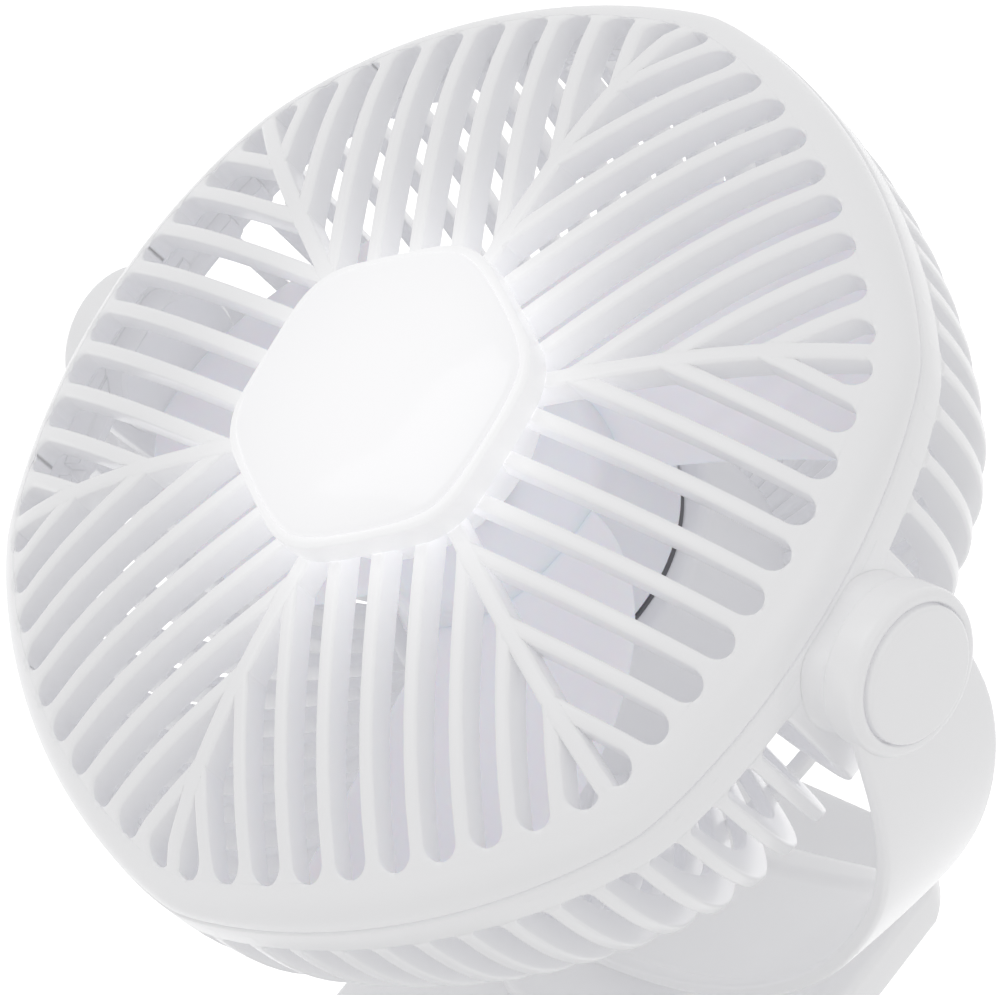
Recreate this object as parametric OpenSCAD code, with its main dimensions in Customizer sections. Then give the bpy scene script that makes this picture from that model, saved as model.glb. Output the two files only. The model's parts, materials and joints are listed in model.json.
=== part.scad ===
// Portable camping fan on a spring clip base.
// A rounded-hexagon head with a leaf-vein front grille and a hub lamp tilts in a
// U-shaped yoke, the yoke swivels on the clip's upper jaw, and the lower jaw is
// the battery base. +Z is up, the front is -Y, and the origin lies on the rubber
// sole straight below the tilt axis.

/* [Stance] */
// Height of the jaw's underside above the base, straight below the tilt axis
jaw_rise = 14.6; // [14.3:0.1:15.2]
// How far the fan head leans back from facing straight ahead
tilt = 45; // [0:1:60]
// How far the yoke leans forward on its clip
lean = 20; // [18:1:22]

/* [Front grille] */
// Half width of the head across its flats, at the seam
head_r = 72; // [71:0.5:75]
// Radius of the six big arcs that make the sides of the head
side_r = 98; // [94:1:110]
// Distance from one grille bar to the next
bar_pitch = 7; // [6.6:0.1:7.2]
// Width of a grille bar
bar_w = 2.3; // [1.8:0.1:2.8]
// Depth of a grille bar from front to back
bar_depth = 5; // [3.5:0.5:6]
// Width of the six ribs that the bars run into
spine_w = 2.6; // [2:0.1:3.4]
// Width of the smooth border outside the bars
rim_w = 4.2; // [3.8:0.1:4.6]
// Height of the grille's middle above its edge
crown = 3.85; // [2:0.05:5]
// Height of the seam between the grille and the rear shell above the tilt axis
seam_z = 10; // [9:0.1:10.5]
// Height of the grille's middle above the seam
grille_rise = 15.85; // [15:0.05:16.5]

/* [Rear shell] */
// Depth of the rear shell behind its front band
shell_depth = 52.3; // [51.8:0.1:53.5]
// Bluntness of the rear shell's outline, where 2 is an ellipse
shell_power = 2.65; // [2.4:0.05:2.8]
// Number of louvre ribs in a whole turn
rib_count = 66; // [60:2:72]
// Thickness of a louvre rib
rib_w = 2.2; // [1.6:0.1:2.4]
// Depth of a louvre rib
rib_depth = 5; // [3.5:0.1:5.2]
// Wall of the shell's band and side panels
shell_wall = 2.2; // [1.8:0.1:3]
// Half angle of each closed panel that carries a pivot
panel_angle = 10.9; // [10:0.1:12]
// Radius of the closed disc in the middle of the back
back_disc_r = 29; // [28:0.5:32]

/* [Fan] */
// Room between the blade tips and the outside of the head
tip_room = 8.2; // [8:0.1:10]
// Number of blades
blade_count = 3; // [2:1:4]
// Thickness of a blade
blade_t = 1.6; // [1.2:0.1:2.2]
// Radius of the fan hub at its front edge
hub_front_r = 18.9; // [17.5:0.1:19.5]
// Radius of the fan hub at its rear edge
hub_rear_r = 23.8; // [22.5:0.1:24.2]
// Length of the fan hub
hub_len = 16; // [14:0.5:16.5]
// Radius of the motor shaft
shaft_r = 2; // [1.5:0.1:2.5]
// Radius of the motor can
motor_r = 18.5; // [16:0.1:19]

/* [Lamp] */
// Half width of the lamp housing across its flats
lamp_r = 22.75; // [21.5:0.05:23.5]
// Height of the lamp housing's collar above the grille
lamp_h = 5.4; // [4:0.1:6]
// Rise of the lens above the collar
lens_rise = 3.6; // [2:0.1:5]

/* [Yoke] */
// How far the head sits off the yoke's middle, towards the left knob
head_shift = 1.95; // [1:0.05:2.5]
// Length of a knob's collar
knob_len = 6.05; // [5.8:0.05:6.6]
// Radius of a knob's collar
knob_r = 12; // [11.5:0.1:12.5]
// Radius of the cap let into a knob
cap_r = 10; // [9:0.1:10]
// How far the cap stands out of its collar
cap_rise = 1; // [0.4:0.1:1.2]
// Radius of the head's two pivot bosses
boss_r = 11.2; // [10.5:0.1:11.8]
// Radius of a pivot pin
pivot_r = 4; // [3.5:0.1:4.5]
// How far an arm stands out from its collar's inner face
arm_out = 4.7; // [4.5:0.1:5.2]
// Width of the yoke's band
band_w = 22; // [20:0.5:24]
// Thickness of the yoke's band along its edges
band_t = 2.6; // [2.3:0.1:2.7]
// Drop of the yoke's underside below the reach of the head's flats
yoke_room = 8; // [7.8:0.1:9]
// Radius of the yoke's lower corners
yoke_corner_r = 49; // [46:1:52]
// Height at which the corners begin, below the tilt axis
yoke_corner_drop = 14.6; // [12:0.2:17]
// Radius of the swivel disc under the yoke
disc_r = 21; // [19:0.5:22]
// Thickness of the swivel disc
disc_t = 3.2; // [2.6:0.1:4]
// Radius of the swivel pin
swivel_r = 3; // [2.5:0.1:3.5]

/* [Clip] */
// Length of the upper jaw in front of the swivel
jaw_front = 70; // [68:0.5:71]
// Length of the upper jaw behind the swivel
jaw_back = 34; // [30:0.5:36]
// Half width of the upper jaw at its widest
jaw_x = 39; // [36:0.5:41]
// Half width of the upper jaw's tip
jaw_tip_x = 27; // [24:0.5:29]
// Thickness of the upper jaw
jaw_t = 7; // [6.6:0.1:7.4]
// Radius of the hinge pin
hinge_r = 3; // [2.5:0.1:3.5]
// Distance from the upper jaw's underside to the hinge axis
hinge_drop = 12.5; // [12:0.1:13]
// Height of the closed gap between the two rubber pads
pad_gap = 0.3; // [0.3:0.1:0.8]
// Half width of the rubber pads
pad_x = 20; // [16:1:22]

/* [Battery base] */
// Half width of the base
base_x = 35; // [34:0.5:38]
// Distance from the origin to the base's front face
base_front = 40; // [39.5:0.5:42]
// Distance from the origin to the base's rear face
base_back = 60; // [60:0.5:64]
// Height of the base's top face
base_h = 24; // [23.9:0.1:24.2]
// Wall of the base
base_wall = 2.2; // [1.8:0.1:2.4]
// Radius of the base's upright corners
base_corner_r = 12; // [9:0.5:14]
// Thickness of the rubber sole
sole_t = 1.5; // [1:0.1:2]
// Diameter of a battery cell
cell_d = 18.4; // [18:0.1:18.6]
// Length of a battery cell
cell_len = 65; // [64:0.5:66]
// Radius of a push button
button_r = 4.5; // [4:0.1:5]
// Travel of a push button
button_travel = 1.2; // [0.8:0.1:1.4]
// Half distance between the two buttons
button_x = 13; // [11:0.5:15]

/* [Hidden] */
$fn = 72;

tiny = 0.01;          // lets one solid sink into another of the same node
seat_gap = 0.05;      // clearance between seated pieces
run_gap = 0.06;       // radial clearance of a turning fit
press_gap = 0.02;     // radial clearance of a pressed fit
side_gap = 0.3;       // clearance beside a moving piece
through = 60;         // more than the length of any bore through a hinge

// ---------- sizes that follow from one another ----------

grille_top = seam_z + grille_rise;
blade_r = head_r - tip_room;
boss_face = head_r + side_gap + head_shift;
boss_in = blade_r + 2.2 + head_shift;
collar_in = boss_face + side_gap;
collar_out = collar_in + knob_len;
yoke_x = collar_in + arm_out;
yoke_drop = head_r + yoke_room;
foot_z = -yoke_drop - 1;
disc_top = foot_z;
jaw_top = disc_top - disc_t - side_gap;
jaw_low = jaw_top - jaw_t;
pivot_h = base_h + jaw_rise - jaw_low / cos(lean);

// ---------- shared outlines ----------

// Distance from the axis to a side arc at an angle from the middle of a flat.
function arc_reach(r, a) = let (c = r - side_r) c * cos(a) + sqrt(side_r * side_r - pow(c * sin(a), 2));
// The corners are rounded off a little inside the point where two sides meet.
function corner_reach(r) = arc_reach(r, 30) - 0.2;
// Outline radius of the head at any angle, for a half width r across flats.
function head_reach(r, a) = min(arc_reach(r, abs(((a + 390) % 60) - 30)), corner_reach(r));
function reversed(v) = [for (i = [len(v) - 1:-1:0]) v[i]];

// Rounded hexagon: six big arcs, with the corners cut by a circle.
module side_disc(r, k) {
  rotate(60 * k) translate([r - side_r, 0]) circle(side_r, $fn = 180);
}

module hexagon(r) {
  intersection() {
    side_disc(r, 0);
    side_disc(r, 1);
    side_disc(r, 2);
    side_disc(r, 3);
    side_disc(r, 4);
    side_disc(r, 5);
    circle(corner_reach(r), $fn = 180);
  }
}

// Lamp outline: a smaller hexagon with much rounder corners.
module lamp_outline(r) {
  intersection() {
    for (k = [0:2]) rotate(60 * k) square([2 * r, 4 * r], center = true);
    circle(1.075 * r);
  }
}

module rounded_rect(x0, x1, y0, y1, r) {
  translate([x0 + r, y0]) square([x1 - x0 - 2 * r, y1 - y0]);
  translate([x0, y0 + r]) square([x1 - x0, y1 - y0 - 2 * r]);
  for (x = [x0 + r, x1 - r], y = [y0 + r, y1 - r]) translate([x, y]) circle(r);
}

module tube(r_out, r_in, h) {
  difference() {
    cylinder(r = r_out, h = h);
    translate([0, 0, -1]) cylinder(r = r_in, h = h + 2);
  }
}

// Turns a solid of revolution about z into one about x, pointing to +x.
module along_x() {
  rotate([0, 90, 0]) children();
}

module both_sides() {
  children();
  mirror([1, 0, 0]) children();
}

// A round bar on the tilt axis at both ends of it, from a distance outwards.
module pivot_bars(start, r, h) {
  translate([head_shift, 0, 0]) for (s = [0, 180]) rotate(s)
    translate([start, 0, 0]) along_x() cylinder(r = r, h = h);
}

// Head frame: origin on the tilt axis, z along the air stream, y up the head.
module at_head() {
  translate([-head_shift, 0, pivot_h]) rotate([90 - tilt, 0, 0]) children();
}

// Yoke frame: origin on the tilt axis, z up the swivel axis.
module at_yoke() {
  translate([0, 0, pivot_h]) rotate([lean, 0, 0]) children();
}

// ---------- front grille ----------

crown_r = 8 * bar_pitch;
function dome_z(r) = grille_top - crown * pow(r / crown_r, 4);
slot_w = bar_pitch - bar_w;
last_bar = 4;
spine_angle = 30;
hub_r = lamp_r - 0.35;
hub_wall = 2.2;
hub_back_z = grille_top - 9.1;
wire_hole_r = 3;

// How far a slot reaches towards the rim at a distance y beside its sector's middle.
function slot_end(y) = head_r - side_r + sqrt(pow(side_r - rim_w, 2) - y * y);

module slot(k) {
  y = (k - 0.5) * bar_pitch;
  start = abs(y) / tan(spine_angle) - bar_pitch;
  stop = slot_end(y) - slot_w / 2;
  translate([start, y - slot_w / 2]) square([stop - start, slot_w]);
  translate([stop, y]) circle(d = slot_w, $fn = 32);
}

// One sixth of the slots, cut off along the spines beside it.
module slot_sector() {
  reach = 1.6 * head_r;
  start = spine_w / 2 / sin(spine_angle);
  intersection() {
    translate([start, 0]) polygon([[0, 0], reach * [cos(spine_angle), -sin(spine_angle)],
                                   reach * [cos(spine_angle), sin(spine_angle)]]);
    for (k = [-last_bar:last_bar + 1]) slot(k);
  }
}

module grille_plan() {
  difference() {
    hexagon(head_r);
    for (a = [0:60:300]) rotate(a) slot_sector();
  }
  circle(hub_r);
}

// The crowned sheet that the bars are cut from, with a deeper rim that rounds
// off towards the outside and stands on the seam.
rim_drop = [0, 0.5, 1.6, 3];
rim_step = 1.7;
rim_roll = 3;
crown_steps = [0.2, 0.4, 0.55, 0.68, 0.78, 0.87];
module crowned_sheet() {
  rim_in = head_r - rim_w - 0.4;
  top = concat([[0, dome_z(0)]], [for (s = crown_steps) [s * head_r, dome_z(s * head_r)]]);
  edge = [for (i = [0:3]) let (r = head_r - rim_roll + rim_step * i) [r, dome_z(r) - rim_drop[i]]];
  base = seam_z + seat_gap;
  rotate_extrude() polygon(concat(top, edge, [[edge[3][0], base], [rim_in, base],
    [rim_in, dome_z(rim_in) - bar_depth]], [for (q = reversed(top)) [q[0], q[1] - bar_depth]]));
}

// The grille's lip enters the rear shell's band as far as the ribs' ends.
lip_gap = 0.15;
lip_t = 2;
module lip() {
  outer = head_r - shell_wall - lip_gap;
  lip_len = seam_z - shell_z - seat_gap;
  translate([0, 0, seam_z - lip_len]) linear_extrude(lip_len + 0.5) difference() {
    hexagon(outer);
    hexagon(outer - lip_t);
  }
}

module front_grille() {
  color("white") at_head() difference() {
    union() {
      intersection() {
        linear_extrude(2 * grille_top) grille_plan();
        crowned_sheet();
      }
      lip();
      translate([0, 0, hub_back_z]) cylinder(r1 = hub_front_r, r2 = hub_r, h = grille_top - hub_back_z - 0.4);
    }
    translate([0, 0, hub_back_z + hub_wall]) cylinder(r = hub_bore_r, h = 20);
    translate([0, 0, hub_back_z - 1]) cylinder(r = wire_hole_r + 1, h = 20);
    pivot_bars(boss_in - 1, boss_r + seat_gap, 20);
  }
}

// ---------- hub lamp ----------

hub_bore_r = hub_front_r - 1.6;
collar_z = grille_top;
lens_z = collar_z + lamp_h;
spigot_r = hub_bore_r - seat_gap;
lamp_wall = 2;
board_z = collar_z - 3;
led_w = 2.8;
led_ring = 0.6;

module lamp_housing() {
  color("white") at_head() difference() {
    union() {
      translate([0, 0, collar_z]) linear_extrude(lamp_h - seat_gap) lamp_outline(lamp_r);
      translate([0, 0, hub_back_z + hub_wall + seat_gap]) cylinder(r = spigot_r, h = 8);
    }
    translate([0, 0, board_z]) cylinder(r = spigot_r - lamp_wall, h = 20);
    translate([0, 0, hub_back_z]) cylinder(r = wire_hole_r, h = 20);
  }
}

module led_board() {
  board_r = spigot_r - lamp_wall - 0.1;
  color("gold") at_head() {
    translate([0, 0, board_z]) cylinder(r = board_r, h = board_t);
    for (k = [0:5]) rotate(60 * k) translate([led_ring * board_r, 0, board_z + board_t])
      translate([-led_w / 2, -led_w / 2, -tiny]) cube([led_w, led_w, 0.8]);
  }
}

module lamp_lens() {
  edge = 1.2;
  reach = 1.1 * lamp_r;
  color("ivory") at_head() {
    intersection() {
      translate([0, 0, lens_z]) linear_extrude(lens_rise + 1) lamp_outline(lamp_r - edge);
      rotate_extrude() polygon(concat([[0, lens_z - 1]], [[reach, lens_z - 1]],
        [for (t = [0:10:90]) [reach * cos(t), lens_z + lens_rise * sin(t)]]));
    }
    translate([0, 0, lens_z - 3]) cylinder(r = spigot_r - lamp_wall - 0.1, h = 3 + tiny);
  }
}

// ---------- rear shell ----------

band_z = seam_z - 5.6;
shell_z = seam_z - 2;
// Points of the shell's meridian at an angle: the inner one lies a given depth in.
function meridian(reach, inset) = [for (i = [0:9]) let (t = 8.4 * i)
  [(reach - inset) * pow(cos(t), 2 / shell_power),
   shell_z - (shell_depth - inset) * pow(sin(t), 2 / shell_power)]];
back_z = shell_z - shell_depth;

module rib(a) {
  reach = head_reach(head_r + 0.3, a);
  rotate(a) rotate([90, 0, 0]) linear_extrude(rib_w, center = true)
    polygon(concat(meridian(reach, 0), reversed(meridian(reach, rib_depth))));
}

// Louvre ribs stand everywhere except on the two closed side panels.
first_rib = ceil((panel_angle + 3) * rib_count / 360);
last_rib = floor((180 - panel_angle - 3) * rib_count / 360);

module shell_panel() {
  reach = head_r + 0.3;
  rotate(-panel_angle) rotate_extrude(angle = 2 * panel_angle)
    polygon(concat(meridian(reach, 0), reversed(meridian(reach, shell_wall + 0.6))));
}

cup_r = 27;
cup_wall = 3;
back_disc_t = 4;
ring_r = 42;
ring_w = 2.4;
shelf_t = 1.6;
screw_ring_r = 12;

module rear_shell() {
  color("white") at_head() difference() {
    union() {
      translate([0, 0, band_z]) linear_extrude(seam_z - band_z) difference() {
        hexagon(head_r + 0.3);
        hexagon(head_r + 0.3 - shell_wall - lip_gap);
      }
      translate([0, 0, band_z]) linear_extrude(shelf_t) difference() {
        hexagon(head_r + 0.3);
        hexagon(head_r + 0.3 - rib_depth);
      }
      for (k = [first_rib:last_rib], s = [-1, 1]) rib(s * k * 360 / rib_count);
      for (a = [0, 180]) rotate(a) shell_panel();
      translate([0, 0, back_z]) cylinder(r = back_disc_r, h = back_disc_t);
      translate([0, 0, back_z + ring_w]) tube(ring_r + ring_w / 2, ring_r - ring_w / 2, ring_w);
      pivot_bars(boss_in, boss_r, boss_face - boss_in);
    }
    pivot_bars(boss_in - 1, pivot_r + press_gap, 20);
    translate([0, 0, back_z - 1]) cylinder(r = cap_back_r + 0.1, h = 1 + cap_back_t);
    translate([0, 0, mount_z]) cylinder(r = cup_r + seat_gap, h = back_disc_t);
    for (k = [0:2]) rotate(120 * k) translate([screw_ring_r, 0, back_z - 1]) cylinder(r = 1.6, h = 10);
  }
}

cap_back_r = 19;
cap_back_t = 1.6;
module rear_cap() {
  color("white") at_head() translate([0, 0, back_z - 0.9])
    cylinder(r1 = cap_back_r - 1.2, r2 = cap_back_r, h = 0.9 + cap_back_t - seat_gap);
}

// ---------- motor ----------

mount_z = back_z + back_disc_t;
mount_floor = 2.2;
motor_z = mount_z + mount_floor;
motor_len = 20;
shaft_in = 4;

module motor_mount() {
  color("whitesmoke") at_head() difference() {
    union() {
      translate([0, 0, mount_z]) tube(cup_r, cup_r - cup_wall, cup_front_z - mount_z);
      translate([0, 0, mount_z]) cylinder(r = cup_r, h = mount_floor);
      translate([0, 0, mount_z]) tube(cup_r - 1, motor_r + seat_gap, 12);
    }
    translate([0, 0, mount_z - 1]) cylinder(r = wire_hole_r, h = 6);
    for (k = [0:2]) rotate(120 * k) translate([screw_ring_r, 0, mount_z - 1]) cylinder(r = 1.3, h = 10);
  }
}

module motor_can() {
  color("silver") at_head() difference() {
    union() {
      translate([0, 0, motor_z]) cylinder(r = motor_r, h = motor_len - 2);
      translate([0, 0, motor_z]) cylinder(r = motor_r - 2, h = motor_len);
    }
    translate([0, 0, motor_z + shaft_in]) cylinder(r = shaft_r + run_gap, h = motor_len);
  }
}

module shell_screws() {
  color("silver") at_head() for (k = [0:2]) rotate(120 * k)
    translate([screw_ring_r, 0, back_z + cap_back_t]) {
      cylinder(r = 1.25, h = 4.4);
      cylinder(r = 1.5, h = 2.4);
    }
}

// ---------- fan ----------

hub_z = seam_z - 8.3;
hub_shell = 2;
hub_rear_z = hub_z - hub_len;
cup_front_z = hub_rear_z - 1.9;
blade_camber = 140;
blade_lead = 12;
blade_sweep = 60;
blade_trail = 95;
blade_mid = -62;
blade_chord_turn = 2;
nut_h = 3;

// Angle of the leading and trailing edges at a distance from the axis.
function lead_at(r) = blade_lead - blade_sweep * (r - hub_front_r) / (blade_r - hub_front_r);
function trail_at(r) = 6 * (1 - (r - hub_front_r) / (blade_r - hub_front_r)) - blade_trail;
function around(r, a) = r * [cos(a), sin(a)];

module blade_plan() {
  steps = 6;
  inner = hub_front_r - 3;
  radii = [for (i = [0:steps]) inner + (blade_r + 2 - inner) * i / steps];
  intersection() {
    polygon(concat([for (r = radii) around(r, lead_at(r))],
      [for (r = reversed(radii)) around(r, trail_at(r))]));
    circle(blade_r);
  }
}

// A cambered sheet, straight along the blade's middle, trimmed to its outline.
module blade() {
  foot = [20, hub_z - 0.2];
  turn = blade_chord_turn;
  centre = foot - blade_camber * [sin(-turn), cos(turn)];
  intersection() {
    translate([0, 0, hub_rear_z]) linear_extrude(hub_len) blade_plan();
    rotate(blade_mid) rotate([90, 0, 90]) linear_extrude(blade_r + 2) difference() {
      translate(centre) circle(blade_camber, $fn = 180);
      translate(centre) circle(blade_camber - blade_t, $fn = 180);
    }
  }
}

module fan_blade() {
  color("aliceblue", 0.8) at_head() difference() {
    union() {
      difference() {
        union() {
          translate([0, 0, hub_rear_z]) cylinder(r1 = hub_rear_r, r2 = hub_front_r, h = hub_len);
          for (k = [0:blade_count - 1]) rotate(k * 360 / blade_count) blade();
        }
        translate([0, 0, hub_rear_z - 1])
          cylinder(r1 = hub_rear_r - hub_shell + 0.3, r2 = hub_front_r - hub_shell, h = hub_len - 1);
      }
      translate([0, 0, hub_z - 12]) cylinder(r = shaft_r + 3, h = 12);
    }
    translate([0, 0, hub_rear_z - 1]) cylinder(r = shaft_r + press_gap, h = hub_len + 2);
  }
}

module motor_shaft() {
  shaft_z = motor_z + shaft_in + side_gap;
  color("silver") at_head() translate([0, 0, shaft_z])
    cylinder(r = shaft_r, h = hub_z + nut_h - shaft_z + 0.4);
}

module shaft_nut() {
  color("gray") at_head() translate([0, 0, hub_z]) difference() {
    cylinder(r = shaft_r + 2.6, h = nut_h, $fn = 6);
    translate([0, 0, -1]) cylinder(r = shaft_r + press_gap, h = nut_h + 2);
  }
}

// ---------- tilt pivots ----------

washer_t = 1.2;
head_seat = collar_in + washer_t + 1.2;
pin_head_t = 1.2;
cap_seat = collar_out - 2;

module pivot_pins() {
  color("silver") at_head() translate([head_shift, 0, 0]) both_sides() translate([boss_in, 0, 0]) along_x() {
    cylinder(r = pivot_r, h = head_seat - boss_in + tiny);
    translate([0, 0, head_seat + seat_gap - boss_in]) cylinder(r = pivot_r + 2.6, h = pin_head_t);
    cylinder(r = pivot_r, h = head_seat + seat_gap + 0.2 - boss_in);
  }
}

module tilt_washers() {
  color("dimgray") at_yoke() both_sides() translate([collar_in - 0.2, 0, 0]) along_x()
    tube(2 * pivot_r + 1, pivot_r + run_gap, washer_t + 0.2 - seat_gap);
}

module knob_cap() {
  cap_t = collar_out + cap_rise - cap_seat - seat_gap;
  translate([cap_seat + seat_gap, 0, 0]) along_x() {
    cylinder(r = cap_r, h = cap_t - 0.5);
    cylinder(r = cap_r - 0.5, h = cap_t);
  }
}

module knob_right() {
  color("white") at_yoke() knob_cap();
}

module knob_left() {
  color("white") at_yoke() mirror([1, 0, 0]) knob_cap();
}

// ---------- yoke ----------

// The bottom arc meets both corner arcs without a kink.
corner_x = yoke_x - yoke_corner_r;
corner_span = yoke_drop - yoke_corner_drop;
bottom_r = (corner_x * corner_x + corner_span * corner_span - yoke_corner_r * yoke_corner_r)
  / (2 * (corner_span - yoke_corner_r));
bottom_c = bottom_r - yoke_drop;

// Region inside the yoke's outline, drawn in x and up the swivel axis.
module yoke_region(inset) {
  reach = 2 * bottom_r;
  fall = bottom_c + yoke_corner_drop;
  translate([0, bottom_c]) intersection() {
    circle(bottom_r - inset, $fn = 180);
    polygon([[0, 0], reach / fall * [corner_x, -fall], reach / fall * [-corner_x, -fall]]);
  }
  intersection() {
    both_2d() translate([corner_x, -yoke_corner_drop]) circle(yoke_corner_r - inset, $fn = 120);
    translate([-yoke_x, -2 * yoke_x]) square([2 * yoke_x, 2 * yoke_x - yoke_corner_drop]);
  }
  translate([inset - yoke_x, -yoke_corner_drop]) square([2 * (yoke_x - inset), yoke_corner_drop + 2]);
}

module yoke_slab(inset, w) {
  rotate([90, 0, 0]) linear_extrude(w, center = true) yoke_region(inset);
}

yoke_inner_z = band_t - yoke_drop;
pin_sink = 2;
foot_r = 10.5;

module yoke() {
  hollow = 0.8;
  color("white") at_yoke() difference() {
    union() {
      difference() {
        yoke_slab(0, band_w);
        yoke_slab(band_t, band_w + 2);
        yoke_slab(band_t - hollow, band_w - 5);
      }
      both_sides() translate([collar_in, 0, 0]) along_x() cylinder(r = knob_r, h = knob_len);
      translate([0, 0, foot_z]) cylinder(r = foot_r, h = yoke_inner_z - foot_z);
    }
    both_sides() {
      translate([collar_in - 1, 0, 0]) along_x() cylinder(r = pivot_r + run_gap, h = 20);
      translate([collar_in - 1, 0, 0]) along_x() cylinder(r = 2 * pivot_r + 1.1, h = 1 + washer_t);
      translate([head_seat, 0, 0]) along_x() cylinder(r = pivot_r + 2.8, h = 20);
      translate([cap_seat, 0, 0]) along_x() cylinder(r = cap_r + 0.15, h = 20);
    }
    translate([0, 0, foot_z - 1]) cylinder(r = swivel_r + press_gap, h = 20);
    translate([0, 0, yoke_inner_z - pin_sink]) cylinder(r = swivel_r + 2.1, h = 20);
  }
}

// ---------- swivel ----------

module turntable() {
  color("white") at_yoke() translate([0, 0, disc_top - disc_t]) difference() {
    union() {
      cylinder(r = disc_r, h = disc_t - 0.8);
      cylinder(r = disc_r - 0.8, h = disc_t);
    }
    translate([0, 0, -1]) cylinder(r = swivel_r + press_gap, h = disc_t + 2);
  }
}

nut_seat = jaw_low + 3;
washer_h = 1;
module swivel_pin() {
  pin_end = nut_seat - washer_h - 4.6;
  color("silver") at_yoke() {
    translate([0, 0, pin_end]) cylinder(r = swivel_r, h = yoke_inner_z - pin_sink - pin_end + tiny);
    translate([0, 0, yoke_inner_z - pin_sink]) cylinder(r = swivel_r + 2, h = pin_sink - 0.2);
  }
}

module swivel_washer() {
  color("silver") at_yoke() translate([0, 0, nut_seat - washer_h]) tube(6.6, swivel_r + run_gap, washer_h);
}

module swivel_nut() {
  color("gray") at_yoke() translate([0, 0, nut_seat - washer_h - seat_gap - 3.4]) difference() {
    cylinder(r = swivel_r + 2.6, h = 3.4, $fn = 6);
    translate([0, 0, -1]) cylinder(r = swivel_r + press_gap, h = 6);
  }
}

// ---------- upper jaw ----------

jaw_wide = 5;
jaw_edge_r = 7;
hinge_h = 7;
ear_t = 4.4;
ear_r = 6;
jaw_ear_x = 10.8;
hinge_v = -jaw_low + hinge_drop;
// Hinge axis in the world.
hinge_y = -hinge_h * cos(lean) + hinge_v * sin(lean);
hinge_z = pivot_h - hinge_h * sin(lean) - hinge_v * cos(lean);

// Outline of the jaw in x and forwards, shrunk by an inset.
module jaw_plan(inset) {
  r = jaw_edge_r - inset;
  back = jaw_back - jaw_edge_r;
  back_x = jaw_x - 4 - jaw_edge_r;
  tip = jaw_front - jaw_edge_r;
  tip_x = jaw_tip_x - jaw_edge_r;
  wide_x = jaw_x - jaw_edge_r;
  both_2d() {
    polygon([[0, -back - r], [back_x, -back - r], [back_x + r, -back], [wide_x + r, jaw_wide - 6],
             [wide_x + r, jaw_wide], [tip_x + r * 0.98, tip + r * 0.18], [tip_x, tip + r], [0, tip + r]]);
    translate([back_x, -back]) circle(r);
    translate([wide_x, jaw_wide - 3]) circle(r);
    translate([tip_x, tip]) circle(r);
  }
}

module both_2d() {
  children();
  mirror([1, 0]) children();
}

module jaw_ears() {
  both_sides() translate([jaw_ear_x, 0, 0]) rotate([90, 0, 90]) linear_extrude(ear_t) {
    translate([-hinge_h, -hinge_v]) circle(ear_r);
    polygon([[-hinge_h - ear_r, -hinge_v], [-hinge_h - 12, jaw_low + 1], [-hinge_h + 12, jaw_low + 1],
             [-hinge_h + ear_r, -hinge_v]]);
  }
}

module upper_jaw() {
  color("white") at_yoke() difference() {
    union() {
      translate([0, 0, jaw_low]) linear_extrude(jaw_t - 1) mirror([0, 1]) jaw_plan(0);
      translate([0, 0, jaw_low]) linear_extrude(jaw_t) mirror([0, 1]) jaw_plan(1);
      jaw_ears();
    }
    translate([0, 0, jaw_low - 1]) linear_extrude(1 + 2.4) mirror([0, 1]) difference() {
      jaw_plan(2.6);
      circle(9.5);
      translate([-jaw_ear_x - ear_t - 2, hinge_h - 13]) square([2 * jaw_ear_x + 2 * ear_t + 4, 26]);
      translate([-pad_x - 3, jaw_front - 44]) square([2 * pad_x + 6, 50]);
    }
    translate([0, 0, jaw_low - 1]) cylinder(r = swivel_r + run_gap, h = 30);
    translate([0, 0, jaw_low - 1]) cylinder(r = 7, h = 1 + 3);
    translate([0, -hinge_h, -hinge_v]) along_x() cylinder(r = hinge_r + run_gap, h = through, center = true);
  }
}

// ---------- clip pads ----------

pad_back_f = 12;
pad_front_f = 30;
pad_top = 2.5;
// Height of the jaw's underside at a distance in front of the origin.
function jaw_under(f) = pivot_h + jaw_low / cos(lean) - f * tan(lean);
upper_pad_z = base_h + pad_top + pad_gap;

module upper_pad() {
  color("dimgray") translate([-pad_x, 0, 0]) rotate([90, 0, 90]) linear_extrude(2 * pad_x)
    polygon([[-pad_back_f, upper_pad_z], [-pad_back_f, jaw_under(pad_back_f)],
             [-pad_front_f, jaw_under(pad_front_f)], [-pad_front_f, upper_pad_z]]);
}

pad_sink = 0.8;
pad_over = 1.5;
module pad_plan(grow) {
  x = pad_x + grow;
  over = pad_over + grow;
  rounded_rect(-x, x, -pad_front_f - over, -pad_back_f + over, 3 + grow);
}

module lower_pad() {
  color("dimgray") difference() {
    translate([0, 0, base_h - pad_sink]) linear_extrude(pad_top + pad_sink) pad_plan(0);
    for (k = [0:3]) translate([-pad_x - 1, -pad_front_f + 2 + 4.4 * k, base_h + pad_top - 0.5])
      cube([2 * pad_x + 2, 1.2, 1]);
  }
}

// ---------- battery base ----------

tray_z = sole_t - 0.7;
split_z = tray_z + 5.2;
floor_t = 2;
floor_z = tray_z + floor_t;
ear_in = jaw_ear_x + ear_t + side_gap;
base_ear_t = 4.6;
base_ear_r = 6.5;

module base_plan(inset) {
  rounded_rect(inset - base_x, base_x - inset, inset - base_front, base_back - inset, base_corner_r - inset);
}

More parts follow.
